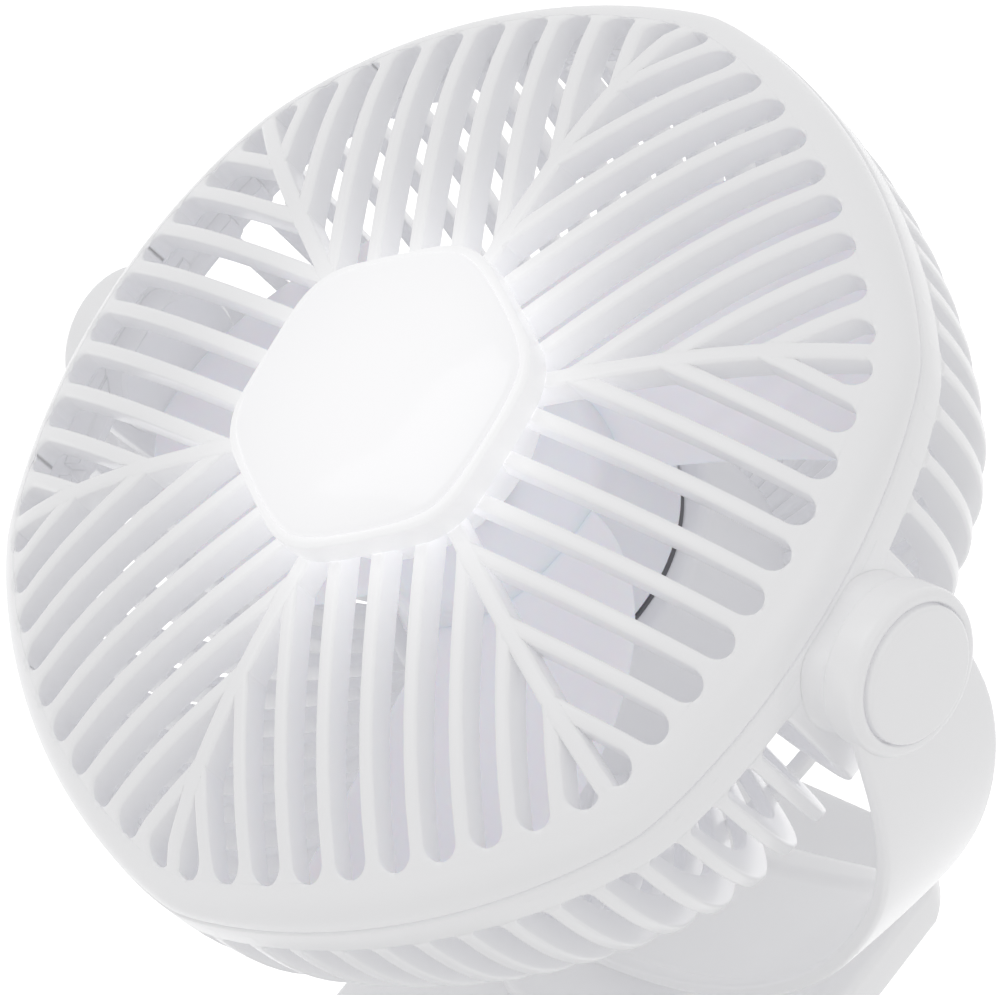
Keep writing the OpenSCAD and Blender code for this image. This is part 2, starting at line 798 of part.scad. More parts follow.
module base_ears() {
  both_sides() translate([ear_in, 0, 0]) rotate([90, 0, 90]) linear_extrude(base_ear_t) {
    translate([hinge_y, hinge_z]) circle(base_ear_r);
    polygon([[hinge_y - base_ear_r, hinge_z], [hinge_y - base_ear_r - 5, base_h - 1],
             [hinge_y + base_ear_r + 5, base_h - 1], [hinge_y + base_ear_r, hinge_z]]);
  }
}

screw_x = base_x - 6.6;
screw_ys = [-base_front + 7.4, base_back - 7.4];
post_r = 3.4;
screw_hole_r = 1.55;
screw_len = 12;
screw_head_r = 2.8;
screw_seat = 1.8;
module at_screws() {
  for (x = [-screw_x, screw_x], y = screw_ys) translate([x, y, 0]) children();
}

socket_w = 9;
socket_h = 3.3;
socket_z = 13;
button_z = 13;

module base_shell() {
  color("white") difference() {
    union() {
      difference() {
        union() {
          translate([0, 0, split_z]) linear_extrude(base_h - split_z - 1) base_plan(0);
          translate([0, 0, split_z]) linear_extrude(base_h - split_z) base_plan(1);
        }
        translate([0, 0, split_z - 1]) linear_extrude(base_h - split_z + 1 - base_wall) base_plan(base_wall);
      }
      at_screws() translate([0, 0, split_z]) cylinder(r = post_r, h = base_h - split_z - 1);
      base_ears();
    }
    at_screws() translate([0, 0, split_z - 1]) cylinder(r = screw_hole_r, h = screw_len);
    translate([0, hinge_y, hinge_z]) along_x() cylinder(r = hinge_r + press_gap, h = through, center = true);
    translate([0, 0, base_h - pad_sink]) linear_extrude(4) pad_plan(2 * seat_gap);
    for (x = [-button_x, button_x]) translate([x, 0, button_z]) rotate([90, 0, 0])
      cylinder(r = button_r + button_gap, h = base_front + 5);
    translate([-socket_w / 2 - 0.2, base_back - 8, socket_z - socket_h / 2 - 0.2])
      cube([socket_w + 0.4, 20, socket_h + 0.4]);
  }
}

cell_x = cell_d / 2 + 0.3;
cell_y0 = -20;
cell_z = floor_z + cell_d / 2 + 0.4;
cradle_w = 4;
cradle_h = 7;
cradle_in = 12;
cradle_ys = [cell_y0 + cradle_in, cell_y0 + cell_len - cradle_in - cradle_w];
board_in = 7;
board_y = -base_front + board_in;
board_t = 1.6;
board_h = 17;
board_w = 48;
board_post_w = 4;
board_post_t = 3;
board_post_h = 12;

module base_tray() {
  color("white") difference() {
    union() {
      translate([0, 0, tray_z]) linear_extrude(floor_t) base_plan(0);
      translate([0, 0, tray_z]) linear_extrude(split_z - tray_z - seat_gap) difference() {
        base_plan(0);
        base_plan(base_wall);
      }
      at_screws() translate([0, 0, tray_z]) cylinder(r = post_r, h = split_z - tray_z - seat_gap);
      for (y = cradle_ys) translate([-2 * cell_x, y, tray_z]) cube([4 * cell_x, cradle_w, cradle_h]);
      for (x = [-board_w / 2, board_w / 2 - board_post_w]) translate([x, board_y + board_t, tray_z])
        cube([board_post_w, board_post_t, board_post_h]);
      translate([-7, base_back - 14, tray_z]) cube([14, 10, socket_z - socket_h / 2 - 1.2 - tray_z]);
    }
    for (x = [-cell_x, cell_x]) translate([x, cell_y0 - 1, cell_z]) rotate([-90, 0, 0])
      cylinder(d = cell_d + 2 * seat_gap, h = cell_len + 2);
    at_screws() translate([0, 0, tray_z - 1]) {
      cylinder(r = screw_hole_r, h = screw_len);
      cylinder(r = screw_head_r + 0.2, h = 1 + screw_seat);
    }
    translate([0, 0, tray_z - 1]) linear_extrude(1.7) base_plan(sole_inset - 0.1);
  }
}

sole_inset = 5;
module rubber_sole() {
  color("dimgray") linear_extrude(sole_t) base_plan(sole_inset);
}

module base_screws() {
  color("silver") at_screws() translate([0, 0, sole_t]) {
    cylinder(r = screw_head_r, h = tray_z + screw_seat - sole_t);
    cylinder(r = screw_hole_r - seat_gap, h = screw_len);
  }
}

module battery_cells() {
  color("mediumseagreen") for (x = [-cell_x, cell_x]) translate([x, cell_y0, cell_z]) rotate([-90, 0, 0]) {
    cylinder(d = cell_d, h = cell_len - 1);
    cylinder(d = 6, h = cell_len);
  }
}

button_rise = 1.8;
button_flange = 1;
button_gap = 0.1;
button_in = -base_front + base_wall + 2 * button_gap + button_flange;
switch_w = 6;

// A switch stands behind each button, just out of reach of its full travel.
module control_board() {
  switch_y = button_in + button_travel + side_gap;
  color("darkgreen") {
    translate([-board_w / 2, board_y, floor_z]) cube([board_w, board_t, board_h]);
    for (x = [-button_x, button_x]) translate([x - switch_w / 2, switch_y, button_z - switch_w / 2])
      cube([switch_w, board_y - switch_y + tiny, switch_w]);
  }
}

module charge_socket() {
  color("silver") {
    translate([-socket_w / 2, base_back - 8.5, socket_z - socket_h / 2]) difference() {
      cube([socket_w, 8.3, socket_h]);
      translate([0.35, 2, 0.35]) cube([socket_w - 0.7, 8, socket_h - 0.7]);
    }
    translate([-3.2, base_back - 6.6, socket_z - 0.35]) cube([6.4, 5.6, 0.7]);
    translate([-7, base_back - 14, socket_z - socket_h / 2 - 1.2]) cube([14, 10, 1.2 + tiny]);
  }
}

// ---------- buttons ----------

module push_button(x) {
  face = -base_front - button_rise;
  translate([x, 0, button_z]) rotate([-90, 0, 0]) {
    translate([0, 0, face]) cylinder(r = button_r, h = button_in - face);
    translate([0, 0, button_in - button_flange - button_gap]) cylinder(r = button_r + 1, h = button_flange);
  }
}

module fan_button() {
  color("gainsboro") push_button(-button_x);
}

module lamp_button() {
  color("gainsboro") push_button(button_x);
}

// ---------- hinge ----------

module hinge_pin() {
  half = ear_in + base_ear_t;
  color("silver") translate([0, hinge_y, hinge_z]) along_x() {
    translate([0, 0, -half - 1.4]) cylinder(r = hinge_r, h = 2 * half + 2.6);
    for (z = [-half - 1.4, half + 0.1]) translate([0, 0, z]) cylinder(r = hinge_r + 1.6, h = 1.3);
  }
}

wire_r = 0.8;
coil_r = 5.3;
coil_turns = 11;
jaw_open = 35;

// The upper leg stays clear of the jaw's underside at its widest opening.
module clip_spring() {
  leg_reach = (hinge_drop - side_gap - (coil_r + wire_r) * sin(jaw_open)) / cos(jaw_open);
  leg_drop = hinge_z - base_h - side_gap;
  side = wire_r * (coil_turns - 1);
  color("silver") translate([0, hinge_y, hinge_z]) {
    for (k = [0:coil_turns - 1]) translate([(2 * k - coil_turns + 1) * wire_r * 0.99, 0, 0]) along_x()
      rotate_extrude($fn = 48) translate([coil_r, 0]) circle(wire_r, $fn = 24);
    translate([side, coil_r, -leg_drop]) cylinder(r = wire_r, h = leg_drop, $fn = 24);
    translate([-side, 0, 0]) rotate([lean, 0, 0]) translate([0, coil_r, 0])
      cylinder(r = wire_r, h = leg_reach, $fn = 24);
  }
}

front_grille();
lamp_housing();
lamp_lens();
led_board();
rear_shell();
motor_mount();
motor_can();
rear_cap();
shell_screws();
pivot_pins();
fan_blade();
motor_shaft();
shaft_nut();
yoke();
knob_right();
knob_left();
tilt_washers();
turntable();
swivel_pin();
swivel_nut();
swivel_washer();
upper_jaw();
upper_pad();
base_shell();
base_tray();
lower_pad();
hinge_pin();
clip_spring();
battery_cells();
control_board();
charge_socket();
rubber_sole();
base_screws();
fan_button();
lamp_button();
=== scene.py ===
"""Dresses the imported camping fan: its grille, shell, lamp, impeller, yoke, clip and battery base.

The head is drawn in its own frame: the origin lies on the tilt axis, z runs along the air
stream and y runs up the head. The yoke's frame has its z up the swivel axis. Lengths are in
millimetres until a piece is placed, and the placed mesh is in metres.
"""

import json
import logging
import math
from collections.abc import Callable, Sequence
from dataclasses import dataclass, field
from enum import Enum
from functools import cache

import bmesh
import bpy
import numpy as np
from mathutils import Matrix, Vector


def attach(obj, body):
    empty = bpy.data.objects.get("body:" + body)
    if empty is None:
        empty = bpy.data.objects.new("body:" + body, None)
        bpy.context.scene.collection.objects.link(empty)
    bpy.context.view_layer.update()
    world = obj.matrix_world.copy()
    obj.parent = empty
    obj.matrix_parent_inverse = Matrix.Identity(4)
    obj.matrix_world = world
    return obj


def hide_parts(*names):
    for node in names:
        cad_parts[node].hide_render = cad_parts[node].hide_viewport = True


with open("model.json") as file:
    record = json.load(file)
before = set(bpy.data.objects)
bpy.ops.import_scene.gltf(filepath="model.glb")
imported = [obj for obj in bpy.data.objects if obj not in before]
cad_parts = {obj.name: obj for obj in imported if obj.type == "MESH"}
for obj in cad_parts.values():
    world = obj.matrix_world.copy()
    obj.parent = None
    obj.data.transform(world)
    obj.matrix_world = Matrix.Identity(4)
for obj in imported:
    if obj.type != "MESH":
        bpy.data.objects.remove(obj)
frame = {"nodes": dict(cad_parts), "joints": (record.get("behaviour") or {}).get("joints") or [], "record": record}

Array = np.ndarray
MM = 0.001
LOG = logging.getLogger("camping_fan")
JOINTS = {joint["name"]: joint for joint in frame["joints"]}


# ---------------------------------------------------------------- frames and outlines


@dataclass(frozen=True)
class Stance:
    """How the head and the yoke stand on the clip, in millimetres and degrees."""

    axis_height: float = JOINTS["head_tilt"]["pos_m"][2] / MM
    head_side: float = JOINTS["fan_spin"]["pos_m"][0] / MM
    head_turn: float = 45.0
    yoke_turn: float = 20.0


STANCE = Stance()


class Part(Enum):
    """The frame that a piece is drawn in, as its turn about +X, its place along x and its height."""

    HEAD = (STANCE.head_turn, STANCE.head_side, STANCE.axis_height)
    YOKE = (STANCE.yoke_turn, 0.0, STANCE.axis_height)

    def to_world(self, points: Array) -> Array:
        """Turns points about +X and moves them into place.

        Args:
            points: Points of the piece, in millimetres of its frame.

        Returns:
            The points in metres of the shared frame.
        """
        turn, side, height = self.value
        angle = math.radians(turn)
        matrix = np.array([[1, 0, 0], [0, math.cos(angle), -math.sin(angle)],
                           [0, math.sin(angle), math.cos(angle)]])
        return (points @ matrix.T + [side, 0, height]) * MM


def around(steps: int) -> Array:
    """Gives evenly spaced angles of one turn, in radians, without the last one."""
    return np.linspace(0, 2 * math.pi, steps, endpoint=False)


def soft_min(a: Array, b: Array, blend: float) -> Array:
    """Joins two curves by their lower one: -blend * ln(exp(-a/blend) + exp(-b/blend))."""
    low = np.minimum(a, b)
    return low - blend * np.log(np.exp((low - a) / blend) + np.exp((low - b) / blend))


def smooth(share: Array) -> Array:
    """Eases a share from 0 to 1: 3 s^2 - 2 s^3, held outside."""
    held = np.clip(share, 0, 1)
    return held * held * (3 - 2 * held)


def from_flat(angle: Array) -> Array:
    """Angle to the nearest flat's middle of a hexagon with a flat at 0: |(a + 30) mod 60 - 30| degrees."""
    return np.abs((angle + math.pi / 6) % (math.pi / 3) - math.pi / 6)


def polar(radius: Array, angle: Array, height: Array) -> Array:
    """Gives points in x, y and z for distances and angles about z, and heights, of shapes that combine."""
    return np.stack(np.broadcast_arrays(radius * np.cos(angle), radius * np.sin(angle), height), -1)


def spun(points: Array, turn: float) -> Array:
    """Turns points about z, by an angle in radians; a third column stays as it is."""
    x, y, rest = points[..., :1], points[..., 1:2], points[..., 2:]
    cos, sin = math.cos(turn), math.sin(turn)
    return np.concatenate([x * cos - y * sin, x * sin + y * cos, rest], -1)


def raised(ring: Array, height: float) -> Array:
    """Gives a flat ring of points a third column of one height."""
    return np.column_stack([ring, np.full(len(ring), height)])


def oblong(left: float, right: float, low: float, high: float) -> list[tuple[float, float]]:
    """Gives the corners of an upright oblong, counterclockwise."""
    return [(left, low), (right, low), (right, high), (left, high)]


def bent(points: Sequence[tuple[float, float]], radii: Sequence[float], closed: bool,
         steps: int = 5) -> Array:
    """Rounds the corners of a 2D line: each corner becomes an arc that touches both its sides.

    Args:
        points: The corners, in order.
        radii: The radius at each corner; 0 leaves it sharp.
        closed: Whether the last corner joins the first.
        steps: Points on each arc.

    Returns:
        The rounded line's points.
    """
    corners = np.array(points, float)
    rows = []
    for i, radius in enumerate(radii):
        inner = closed or 0 < i < len(corners) - 1
        if radius <= 0 or not inner:
            rows.append(corners[i][None])
            continue
        here = corners[i]
        back = corners[i - 1] - here
        on = corners[(i + 1) % len(corners)] - here
        back, on = back / np.linalg.norm(back), on / np.linalg.norm(on)
        half = 0.5 * math.acos(float(np.clip(back @ on, -1, 1)))
        reach = radius / math.tan(half)
        middle = here + (back + on) / np.linalg.norm(back + on) * radius / math.sin(half)
        start, stop = here + back * reach - middle, here + on * reach - middle
        share = np.linspace(0, 1, steps)[:, None]
        turn = math.pi - 2 * half
        weights = np.sin((1 - share) * turn) / math.sin(turn), np.sin(share * turn) / math.sin(turn)
        rows.append(middle + weights[0] * start + weights[1] * stop)
    return np.concatenate(rows)


def hull_outline(centres: Sequence[tuple[float, float]], radius: float, steps: int = 9) -> Array:
    """Rolls a circle round a convex ring of centres: each gives the arc between its sides' normals.

    Args:
        centres: Corner centres, counterclockwise.
        radius: Radius of the corner arcs.
        steps: Points on each arc.

    Returns:
        The outline's points, counterclockwise.
    """
    ring = np.array(centres, float)
    side = np.roll(ring, -1, axis=0) - ring
    normal = np.arctan2(-side[:, 0], side[:, 1])
    before = np.roll(normal, 1)
    turn = (normal - before) % (2 * math.pi)
    angle = before[:, None] + turn[:, None] * np.linspace(0, 1, steps)
    return (ring[:, None] + radius * np.stack([np.cos(angle), np.sin(angle)], -1)).reshape(-1, 2)


# ---------------------------------------------------------------- meshes


@dataclass
class Shape:
    """Points and faces of one piece, gathered in the millimetres of its frame."""

    points: list[Array] = field(default_factory=list)
    faces: list[Array] = field(default_factory=list)
    count: int = 0

    def sheet(self, grid: Array, rows_close: bool = False, columns_close: bool = False) -> None:
        """Adds a grid of points as four-sided faces.

        Args:
            grid: Points of shape (rows, columns, 3).
            rows_close: Whether the last row joins the first.
            columns_close: Whether the last column joins the first.
        """
        rows, columns = grid.shape[:2]
        index = np.arange(rows * columns).reshape(rows, columns) + self.count
        low, high = (index, np.roll(index, -1, axis=0)) if rows_close else (index[:-1], index[1:])
        if columns_close:
            low, high = np.hstack([low, low[:, :1]]), np.hstack([high, high[:, :1]])
        faces = np.stack([low[:, :-1], low[:, 1:], high[:, 1:], high[:, :-1]], -1)
        self.points.append(grid.reshape(-1, 3))
        self.faces.append(faces.reshape(-1, 4))
        self.count += rows * columns

    def bar(self, sections: Array) -> None:
        """Adds a solid bar, with both ends filled by a fan.

        Args:
            sections: Closed sections of shape (rows, columns, 3), from one end to the other.
        """
        rows, columns = sections.shape[:2]
        start = self.count
        self.sheet(sections, columns_close=True)
        for row in (0, rows - 1):
            ring = start + row * columns + np.arange(columns)
            tip = np.full(columns, self.count)
            self.points.append(sections[row].mean(axis=0)[None])
            self.faces.append(np.stack([ring, np.roll(ring, -1), tip, tip], -1))
            self.count += 1

    def turned(self, profile: Array, steps: int = 96, along_x: bool = False) -> None:
        """Adds a turned solid: a closed line of (radius, height) points carried round its axis.

        Args:
            profile: Closed line of shape (n, 2); points on the axis have radius 0.
            steps: Sides of the turn.
            along_x: Whether the axis is +X and not +Z.
        """
        points = polar(profile[None, :, 0], around(steps)[:, None], profile[None, :, 1])
        if along_x:
            points = points[..., [2, 0, 1]]
        self.sheet(points, rows_close=True, columns_close=True)

    def slab(self, outline: Callable[[float], Array], levels: Array) -> None:
        """Adds a slab: the outline, drawn in by an inset at each level, with both ends filled.

        Args:
            outline: Gives the outline's (n, 2) points for an inset.
            levels: Rows of (inset, height), from one end to the other.
        """
        self.bar(np.stack([raised(outline(inset), height) for inset, height in levels]))

    def plate(self, outline: Array, start: float, stop: float, edge: float) -> None:
        """Adds a plate that stands across x, with eased edges.

        Args:
            outline: The plate's outline in y and z.
            start: Where it begins, along x.
            stop: Where it ends.
            edge: How far the edges are drawn in.
        """
        middle = outline.mean(axis=0)
        shrink = 1 - edge / np.abs(outline - middle).max()
        steps = [(start, shrink), (start + edge, 1.0), (stop - edge, 1.0), (stop, shrink)]
        self.bar(np.stack([raised(middle + (outline - middle) * share, x)[:, [2, 0, 1]]
                           for x, share in steps]))


def piece(name: str, shape: Shape, part: Part, body: str, finish: "Finish",
          instead_of: Sequence[str] = (), crease: float = 38.0) -> bpy.types.Object:
    """Makes a Blender object of a shape, with smooth faces, and puts it on its body.

    Args:
        name: The piece's name.
        shape: Its points and faces.
        part: The frame that the shape is drawn in.
        body: The body that carries it.
        finish: Its finish.
        instead_of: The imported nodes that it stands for.
        crease: Edges that bend by more degrees than this stay sharp.

    Returns:
        The object.
    """
    mesh = bpy.data.meshes.new(name)
    points = part.to_world(np.concatenate(shape.points)).astype(np.float32)
    faces = np.concatenate(shape.faces)
    mesh.vertices.add(len(points))
    mesh.vertices.foreach_set("co", points.ravel())
    mesh.loops.add(faces.size)
    mesh.loops.foreach_set("vertex_index", faces.ravel().astype(np.int32))
    mesh.polygons.add(len(faces))
    mesh.polygons.foreach_set("loop_start", np.arange(0, faces.size, 4, dtype=np.int32))
    mesh.update(calc_edges=True)
    build = bmesh.new()
    build.from_mesh(mesh)
    bmesh.ops.remove_doubles(build, verts=build.verts, dist=1e-6)
    bmesh.ops.dissolve_degenerate(build, edges=build.edges, dist=1e-7)
    bmesh.ops.recalc_face_normals(build, faces=build.faces)
    build.to_mesh(mesh)
    build.free()
    mesh.polygons.foreach_set("use_smooth", np.ones(len(mesh.polygons), bool))
    mesh.set_sharp_from_angle(angle=math.radians(crease))
    mesh.materials.append(finish.material())
    made = bpy.data.objects.new(name, mesh)
    bpy.context.scene.collection.objects.link(made)
    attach(made, body)
    if instead_of:
        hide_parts(*instead_of)
    LOG.info("%s: %d faces", name, len(mesh.polygons))
    return made


# ---------------------------------------------------------------- shader expressions


class Value:
    """A shader socket that Python arithmetic works on; each operation adds a Math node."""

    def __init__(self, shader: "Shader", socket: bpy.types.NodeSocket) -> None:
        """Keeps the socket and the shader that it belongs to."""
        self.shader, self.socket = shader, socket

    def __add__(self, other: "Value | float") -> "Value":
        """Gives self + other."""
        return self.shader.math("ADD", self, other)

    __radd__ = __add__

    def __mul__(self, other: "Value | float") -> "Value":
        """Gives self * other."""
        return self.shader.math("MULTIPLY", self, other)

    __rmul__ = __mul__

    def __sub__(self, other: "Value | float") -> "Value":
        """Gives self - other."""
        return self.shader.math("SUBTRACT", self, other)

    def __rsub__(self, other: "Value | float") -> "Value":
        """Gives other - self."""
        return self.shader.math("SUBTRACT", other, self)


class Shader:
    """The node tree of one material or world, with a single method that adds any node."""

    def __init__(self, owner: bpy.types.Material | bpy.types.World) -> None:
        """Empties the owner's node tree and keeps it.

        Args:
            owner: The new material or world.
        """
        owner.use_nodes = True
        self.owner, self.tree = owner, owner.node_tree
        self.tree.nodes.clear()

    def node(self, kind: str, settings: dict[str, object] | None = None,
             inputs: dict[str | int, object] | None = None) -> bpy.types.Node:
        """Adds a node, sets its settings first, then its sockets' values or links.

        Args:
            kind: The node's type, such as "ShaderNodeBump".
            settings: Attributes of the node, such as a Math node's operation.
            inputs: Values, colours, Values or sockets, by socket name or number.

        Returns:
            The node.
        """
        made = self.tree.nodes.new(kind)
        for key, value in (settings or {}).items():
            setattr(made, key, value)
        for key, value in (inputs or {}).items():
            socket = value.socket if isinstance(value, Value) else value
            if isinstance(socket, bpy.types.NodeSocket):
                self.tree.links.new(socket, made.inputs[key])
            else:
                made.inputs[key].default_value = socket
        return made

    def math(self, operation: str, *values: "Value | float") -> Value:
        """Adds one Math node for these values."""
        made = self.node("ShaderNodeMath", {"operation": operation}, dict(enumerate(values)))
        return Value(self, made.outputs[0])

    def where(self, scale: Sequence[float] = (1, 1, 1), centre: Sequence[float] = (0, 0, 0),
              turn: float = 0.0) -> bpy.types.NodeSocket:
        """Gives Object coordinates in a frame of their own.

        Args:
            scale: The frame's scale along each axis.
            centre: The point that it is centred on.
            turn: Its turn about x, in radians.

        Returns:
            The coordinates' socket.
        """
        raw = self.node("ShaderNodeTexCoord").outputs["Object"]
        moved = self.node("ShaderNodeVectorMath", {"operation": "SUBTRACT"}, {0: raw, 1: tuple(centre)})
        return self.node("ShaderNodeMapping", {}, {"Vector": moved.outputs[0], "Rotation": (-turn, 0, 0),
                                                   "Scale": tuple(scale)}).outputs[0]

    def distance(self, centre: Sequence[float], axes: Sequence[float] = (1, 1, 1),
                 turn: float = 0.0) -> Value:
        """Gives the distance from a point along the axes that count, in a frame turned about x."""
        offset = self.where(axes, centre, turn)
        made = self.node("ShaderNodeVectorMath", {"operation": "LENGTH"}, {0: offset})
        return Value(self, made.outputs["Value"])

    def noise(self, scale: float, detail: float = 2.0, stretch: Sequence[float] = (1, 1, 1)) -> Value:
        """Gives a noise from 0 to 1 over the piece."""
        made = self.node("ShaderNodeTexNoise", {}, {"Vector": self.where(stretch), "Scale": scale,
                                                    "Detail": detail})
        return Value(self, made.outputs[0])

    def blend(self, share: Value, low: Sequence[float], high: Sequence[float]) -> bpy.types.NodeSocket:
        """Mixes two colours by a share from 0 to 1."""
        made = self.node("ShaderNodeMix", {"data_type": "RGBA"},
                         {0: share, 6: (*low, 1.0), 7: (*high, 1.0)})
        return made.outputs[2]

    def bump(self, strength: float, distance: float, height: Value, **others: object) -> bpy.types.NodeSocket:
        """Gives a normal that is bumped by a height, with further sockets of the Bump node by name."""
        sockets = {"Strength": strength, "Distance": distance, "Height": height, **others}
        return self.node("ShaderNodeBump", {}, sockets).outputs[0]

    def surface(self, **inputs: object) -> None:
        """Ends the material in one Principled BSDF.

        Args:
            **inputs: Its sockets' values or links, their names written with _ for spaces.
        """
        named = {key.replace("_", " "): value for key, value in inputs.items()}
        made = self.node("ShaderNodeBsdfPrincipled", {}, named)
        self.node("ShaderNodeOutputMaterial", {}, {"Surface": made.outputs[0]})


# ---------------------------------------------------------------- finishes


@dataclass(frozen=True)
class Finish:
    """What every finish has: a name, a colour and a roughness."""

    name: str
    colour: tuple[float, float, float]
    roughness: float

    @cache
    def material(self) -> bpy.types.Material:
        """Makes the material once.

        Returns:
            The material, the same one each time.
        """
        shader = Shader(bpy.data.materials.new(self.name))
        self.dress(shader)
        return shader.owner

    def shade(self, factor: float) -> tuple[float, ...]:
        """Gives the finish's colour times a factor, at most 1."""
        return tuple(min(1.0, c * factor) for c in self.colour)

    def dress(self, shader: Shader) -> None:
        """Fills the shader; each kind of finish has its own.

        Args:
            shader: The empty material's shader.
        """
        raise NotImplementedError


@dataclass(frozen=True)
class MouldedPlastic(Finish):
    """Satin moulded plastic: faint cloudiness, fine mould texture, eased edges and a faint painted glow that lifts
    its shade.
    """

    cloud: float = 0.015
    cloud_scale: float = 24.0
    grain_scale: float = 1500.0
    grain: float = 0.03
    grain_depth: float = 0.0002
    edge: float = 0.0003
    spread: float = 0.08
    coat: float = 0.15
    # Strength of the painted glow: emission of the plastic's own colour that lightens its shaded parts.
    painted_glow: float = 0.09

    def dress(self, shader: Shader) -> None:
        """Mixes two near shades by a slow noise, and roughens the normal by a fine one.

        Args:
            shader: The empty material's shader.
        """
        clouds = shader.noise(self.cloud_scale, 3.0)
        rounded = shader.node("ShaderNodeBevel", {"samples": 4}, {"Radius": self.edge}).outputs[0]
        grain = shader.noise(self.grain_scale)
        shader.surface(
            Base_Color=shader.blend(clouds, self.shade(1 - self.cloud * 2), self.shade(1 + self.cloud)),
            Roughness=clouds * self.spread + (self.roughness - self.spread / 2),
            Coat_Weight=self.coat, Coat_Roughness=0.12, IOR=1.5,
            Normal=shader.bump(self.grain, self.grain_depth, grain, Normal=rounded), **self.extras(shader))

    def extras(self, shader: Shader) -> dict[str, object]:
        """Gives further sockets of the surface: a faint painted glow of the plastic's own colour, which lifts its
        shade evenly.
        """
        # Painted glow: the plastic emits its own colour faintly, so the shade inside the head looks lighter.
        return {"Emission_Color": (*self.colour, 1.0), "Emission_Strength": self.painted_glow}


@dataclass(frozen=True)
class PaintedHaloPlastic(MouldedPlastic):
    """Moulded plastic round a lamp, with a painted halo of the lamp's light that is brightest close to the lamp's
    middle.
    """

    centre: tuple[float, float, float] = (0.0, 0.0, 0.0)
    reach: float = 0.05
    # Strength of the painted halo: emission that turns white near the lamp, as a painted pool of its light.
    painted_halo: float = 0.6

    def extras(self, shader: Shader) -> dict[str, object]:
        """Fades the painted halo by (1 - distance / reach) squared, down to the plain painted glow.

        Args:
            shader: The material's shader.

        Returns:
            The emission's sockets.
        """
        # Painted halo: the emission turns to white towards the lamp's middle, a painted pool of lamp light.
        share = shader.math("MAXIMUM", 1 - shader.distance(self.centre) * (1 / self.reach), 0.0)
        plain = self.shade(self.painted_glow / self.painted_halo)
        return {"Emission_Color": shader.blend(share * share, plain, (1.0, 1.0, 1.0)),
                "Emission_Strength": self.painted_halo}


@dataclass(frozen=True)
class IcePlastic(Finish):
    """Milky pale blades: light softens inside them, and a faint painted glow of their own colour lifts their
    shade.
    """

    cloud: float = 0.03
    cloud_scale: float = 30.0
    spread: float = 0.06
    scatter: float = 0.3
    # Strength of the painted glow: emission of the blades' own colour that lightens their shade.
    painted_glow: float = 0.07

    def dress(self, shader: Shader) -> None:
        """Softens the light inside, varies the tone slowly and paints a faint glow of the blades' own colour.

        Args:
            shader: The empty material's shader.
        """
        clouds = shader.noise(self.cloud_scale)
        shader.surface(
            Base_Color=shader.blend(clouds, self.shade(1 - self.cloud), self.colour),
            Roughness=clouds * self.spread + self.roughness,
            Subsurface_Weight=self.scatter, Subsurface_Scale=0.002,
            # Painted glow: the blades emit their own colour faintly.
            Emission_Color=(*self.colour, 1.0), Emission_Strength=self.painted_glow,
            Coat_Weight=0.3, Coat_Roughness=0.1, IOR=1.46)


@dataclass(frozen=True)
class GlowingLens(Finish):
    """Frosted diffuser lit from behind, brighter towards its middle."""

    strength: float = 1.0
    centre: tuple[float, float, float] = (0.0, 0.0, 0.0)
    turn: float = 0.0
    reach: float = 0.022
    bright: tuple[float, float, float] = (1.0, 0.99, 1.0)
    dim: tuple[float, float, float] = (0.84, 0.84, 0.86)

    def dress(self, shader: Shader) -> None:
        """Fades the glow from the middle outwards by the distance from the lamp's axis.

        Args:
            shader: The empty material's shader.
        """
        share = shader.distance(self.centre, (1, 1, 0), self.turn) * (1 / self.reach)
        glow = shader.blend(share * share, self.bright, self.dim)
        shader.surface(
            Base_Color=(*self.colour, 1.0), Roughness=self.roughness,
            Coat_Weight=0.4, Coat_Roughness=0.08,
            Emission_Color=glow, Emission_Strength=self.strength)


@dataclass(frozen=True)
class Metal(Finish):
    """Plated or drawn steel with fine brushed lines."""

    stretch: tuple[float, float, float] = (1.0, 1.0, 12.0)
    line_scale: float = 900.0
    line_shade: float = 0.85
    line_depth: float = 0.0001
    spread: float = 0.12

    def dress(self, shader: Shader) -> None:
        """Varies the roughness and the normal along drawn lines.

        Args:
            shader: The empty material's shader.
        """
        lines = shader.noise(self.line_scale, 3.0, self.stretch)
        shader.surface(
            Base_Color=shader.blend(lines, self.shade(self.line_shade), self.colour), Metallic=1.0,
            Roughness=lines * self.spread + self.roughness,
            Normal=shader.bump(0.1, self.line_depth, lines))


@dataclass(frozen=True)
class SoftRubber(Finish):
    """Dark rubber with a pebbled skin."""

    pebble_scale: float = 1400.0
    pebble_depth: float = 0.0002
    dust_scale: float = 60.0
    dust_shade: float = 1.5
    spread: float = 0.1

    def dress(self, shader: Shader) -> None:
        """Pebbles the skin with small cells and dusts the colour.

        Args:
            shader: The empty material's shader.
        """
        cells = shader.node("ShaderNodeTexVoronoi", {},
                            {"Vector": shader.where(), "Scale": self.pebble_scale})
        dust = shader.noise(self.dust_scale, 4.0)
        pebbles = Value(shader, cells.outputs["Distance"])
        shader.surface(
            Base_Color=shader.blend(dust, self.colour, self.shade(self.dust_shade)),
            Roughness=dust * self.spread + self.roughness,
            Normal=shader.bump(0.25, self.pebble_depth, pebbles))


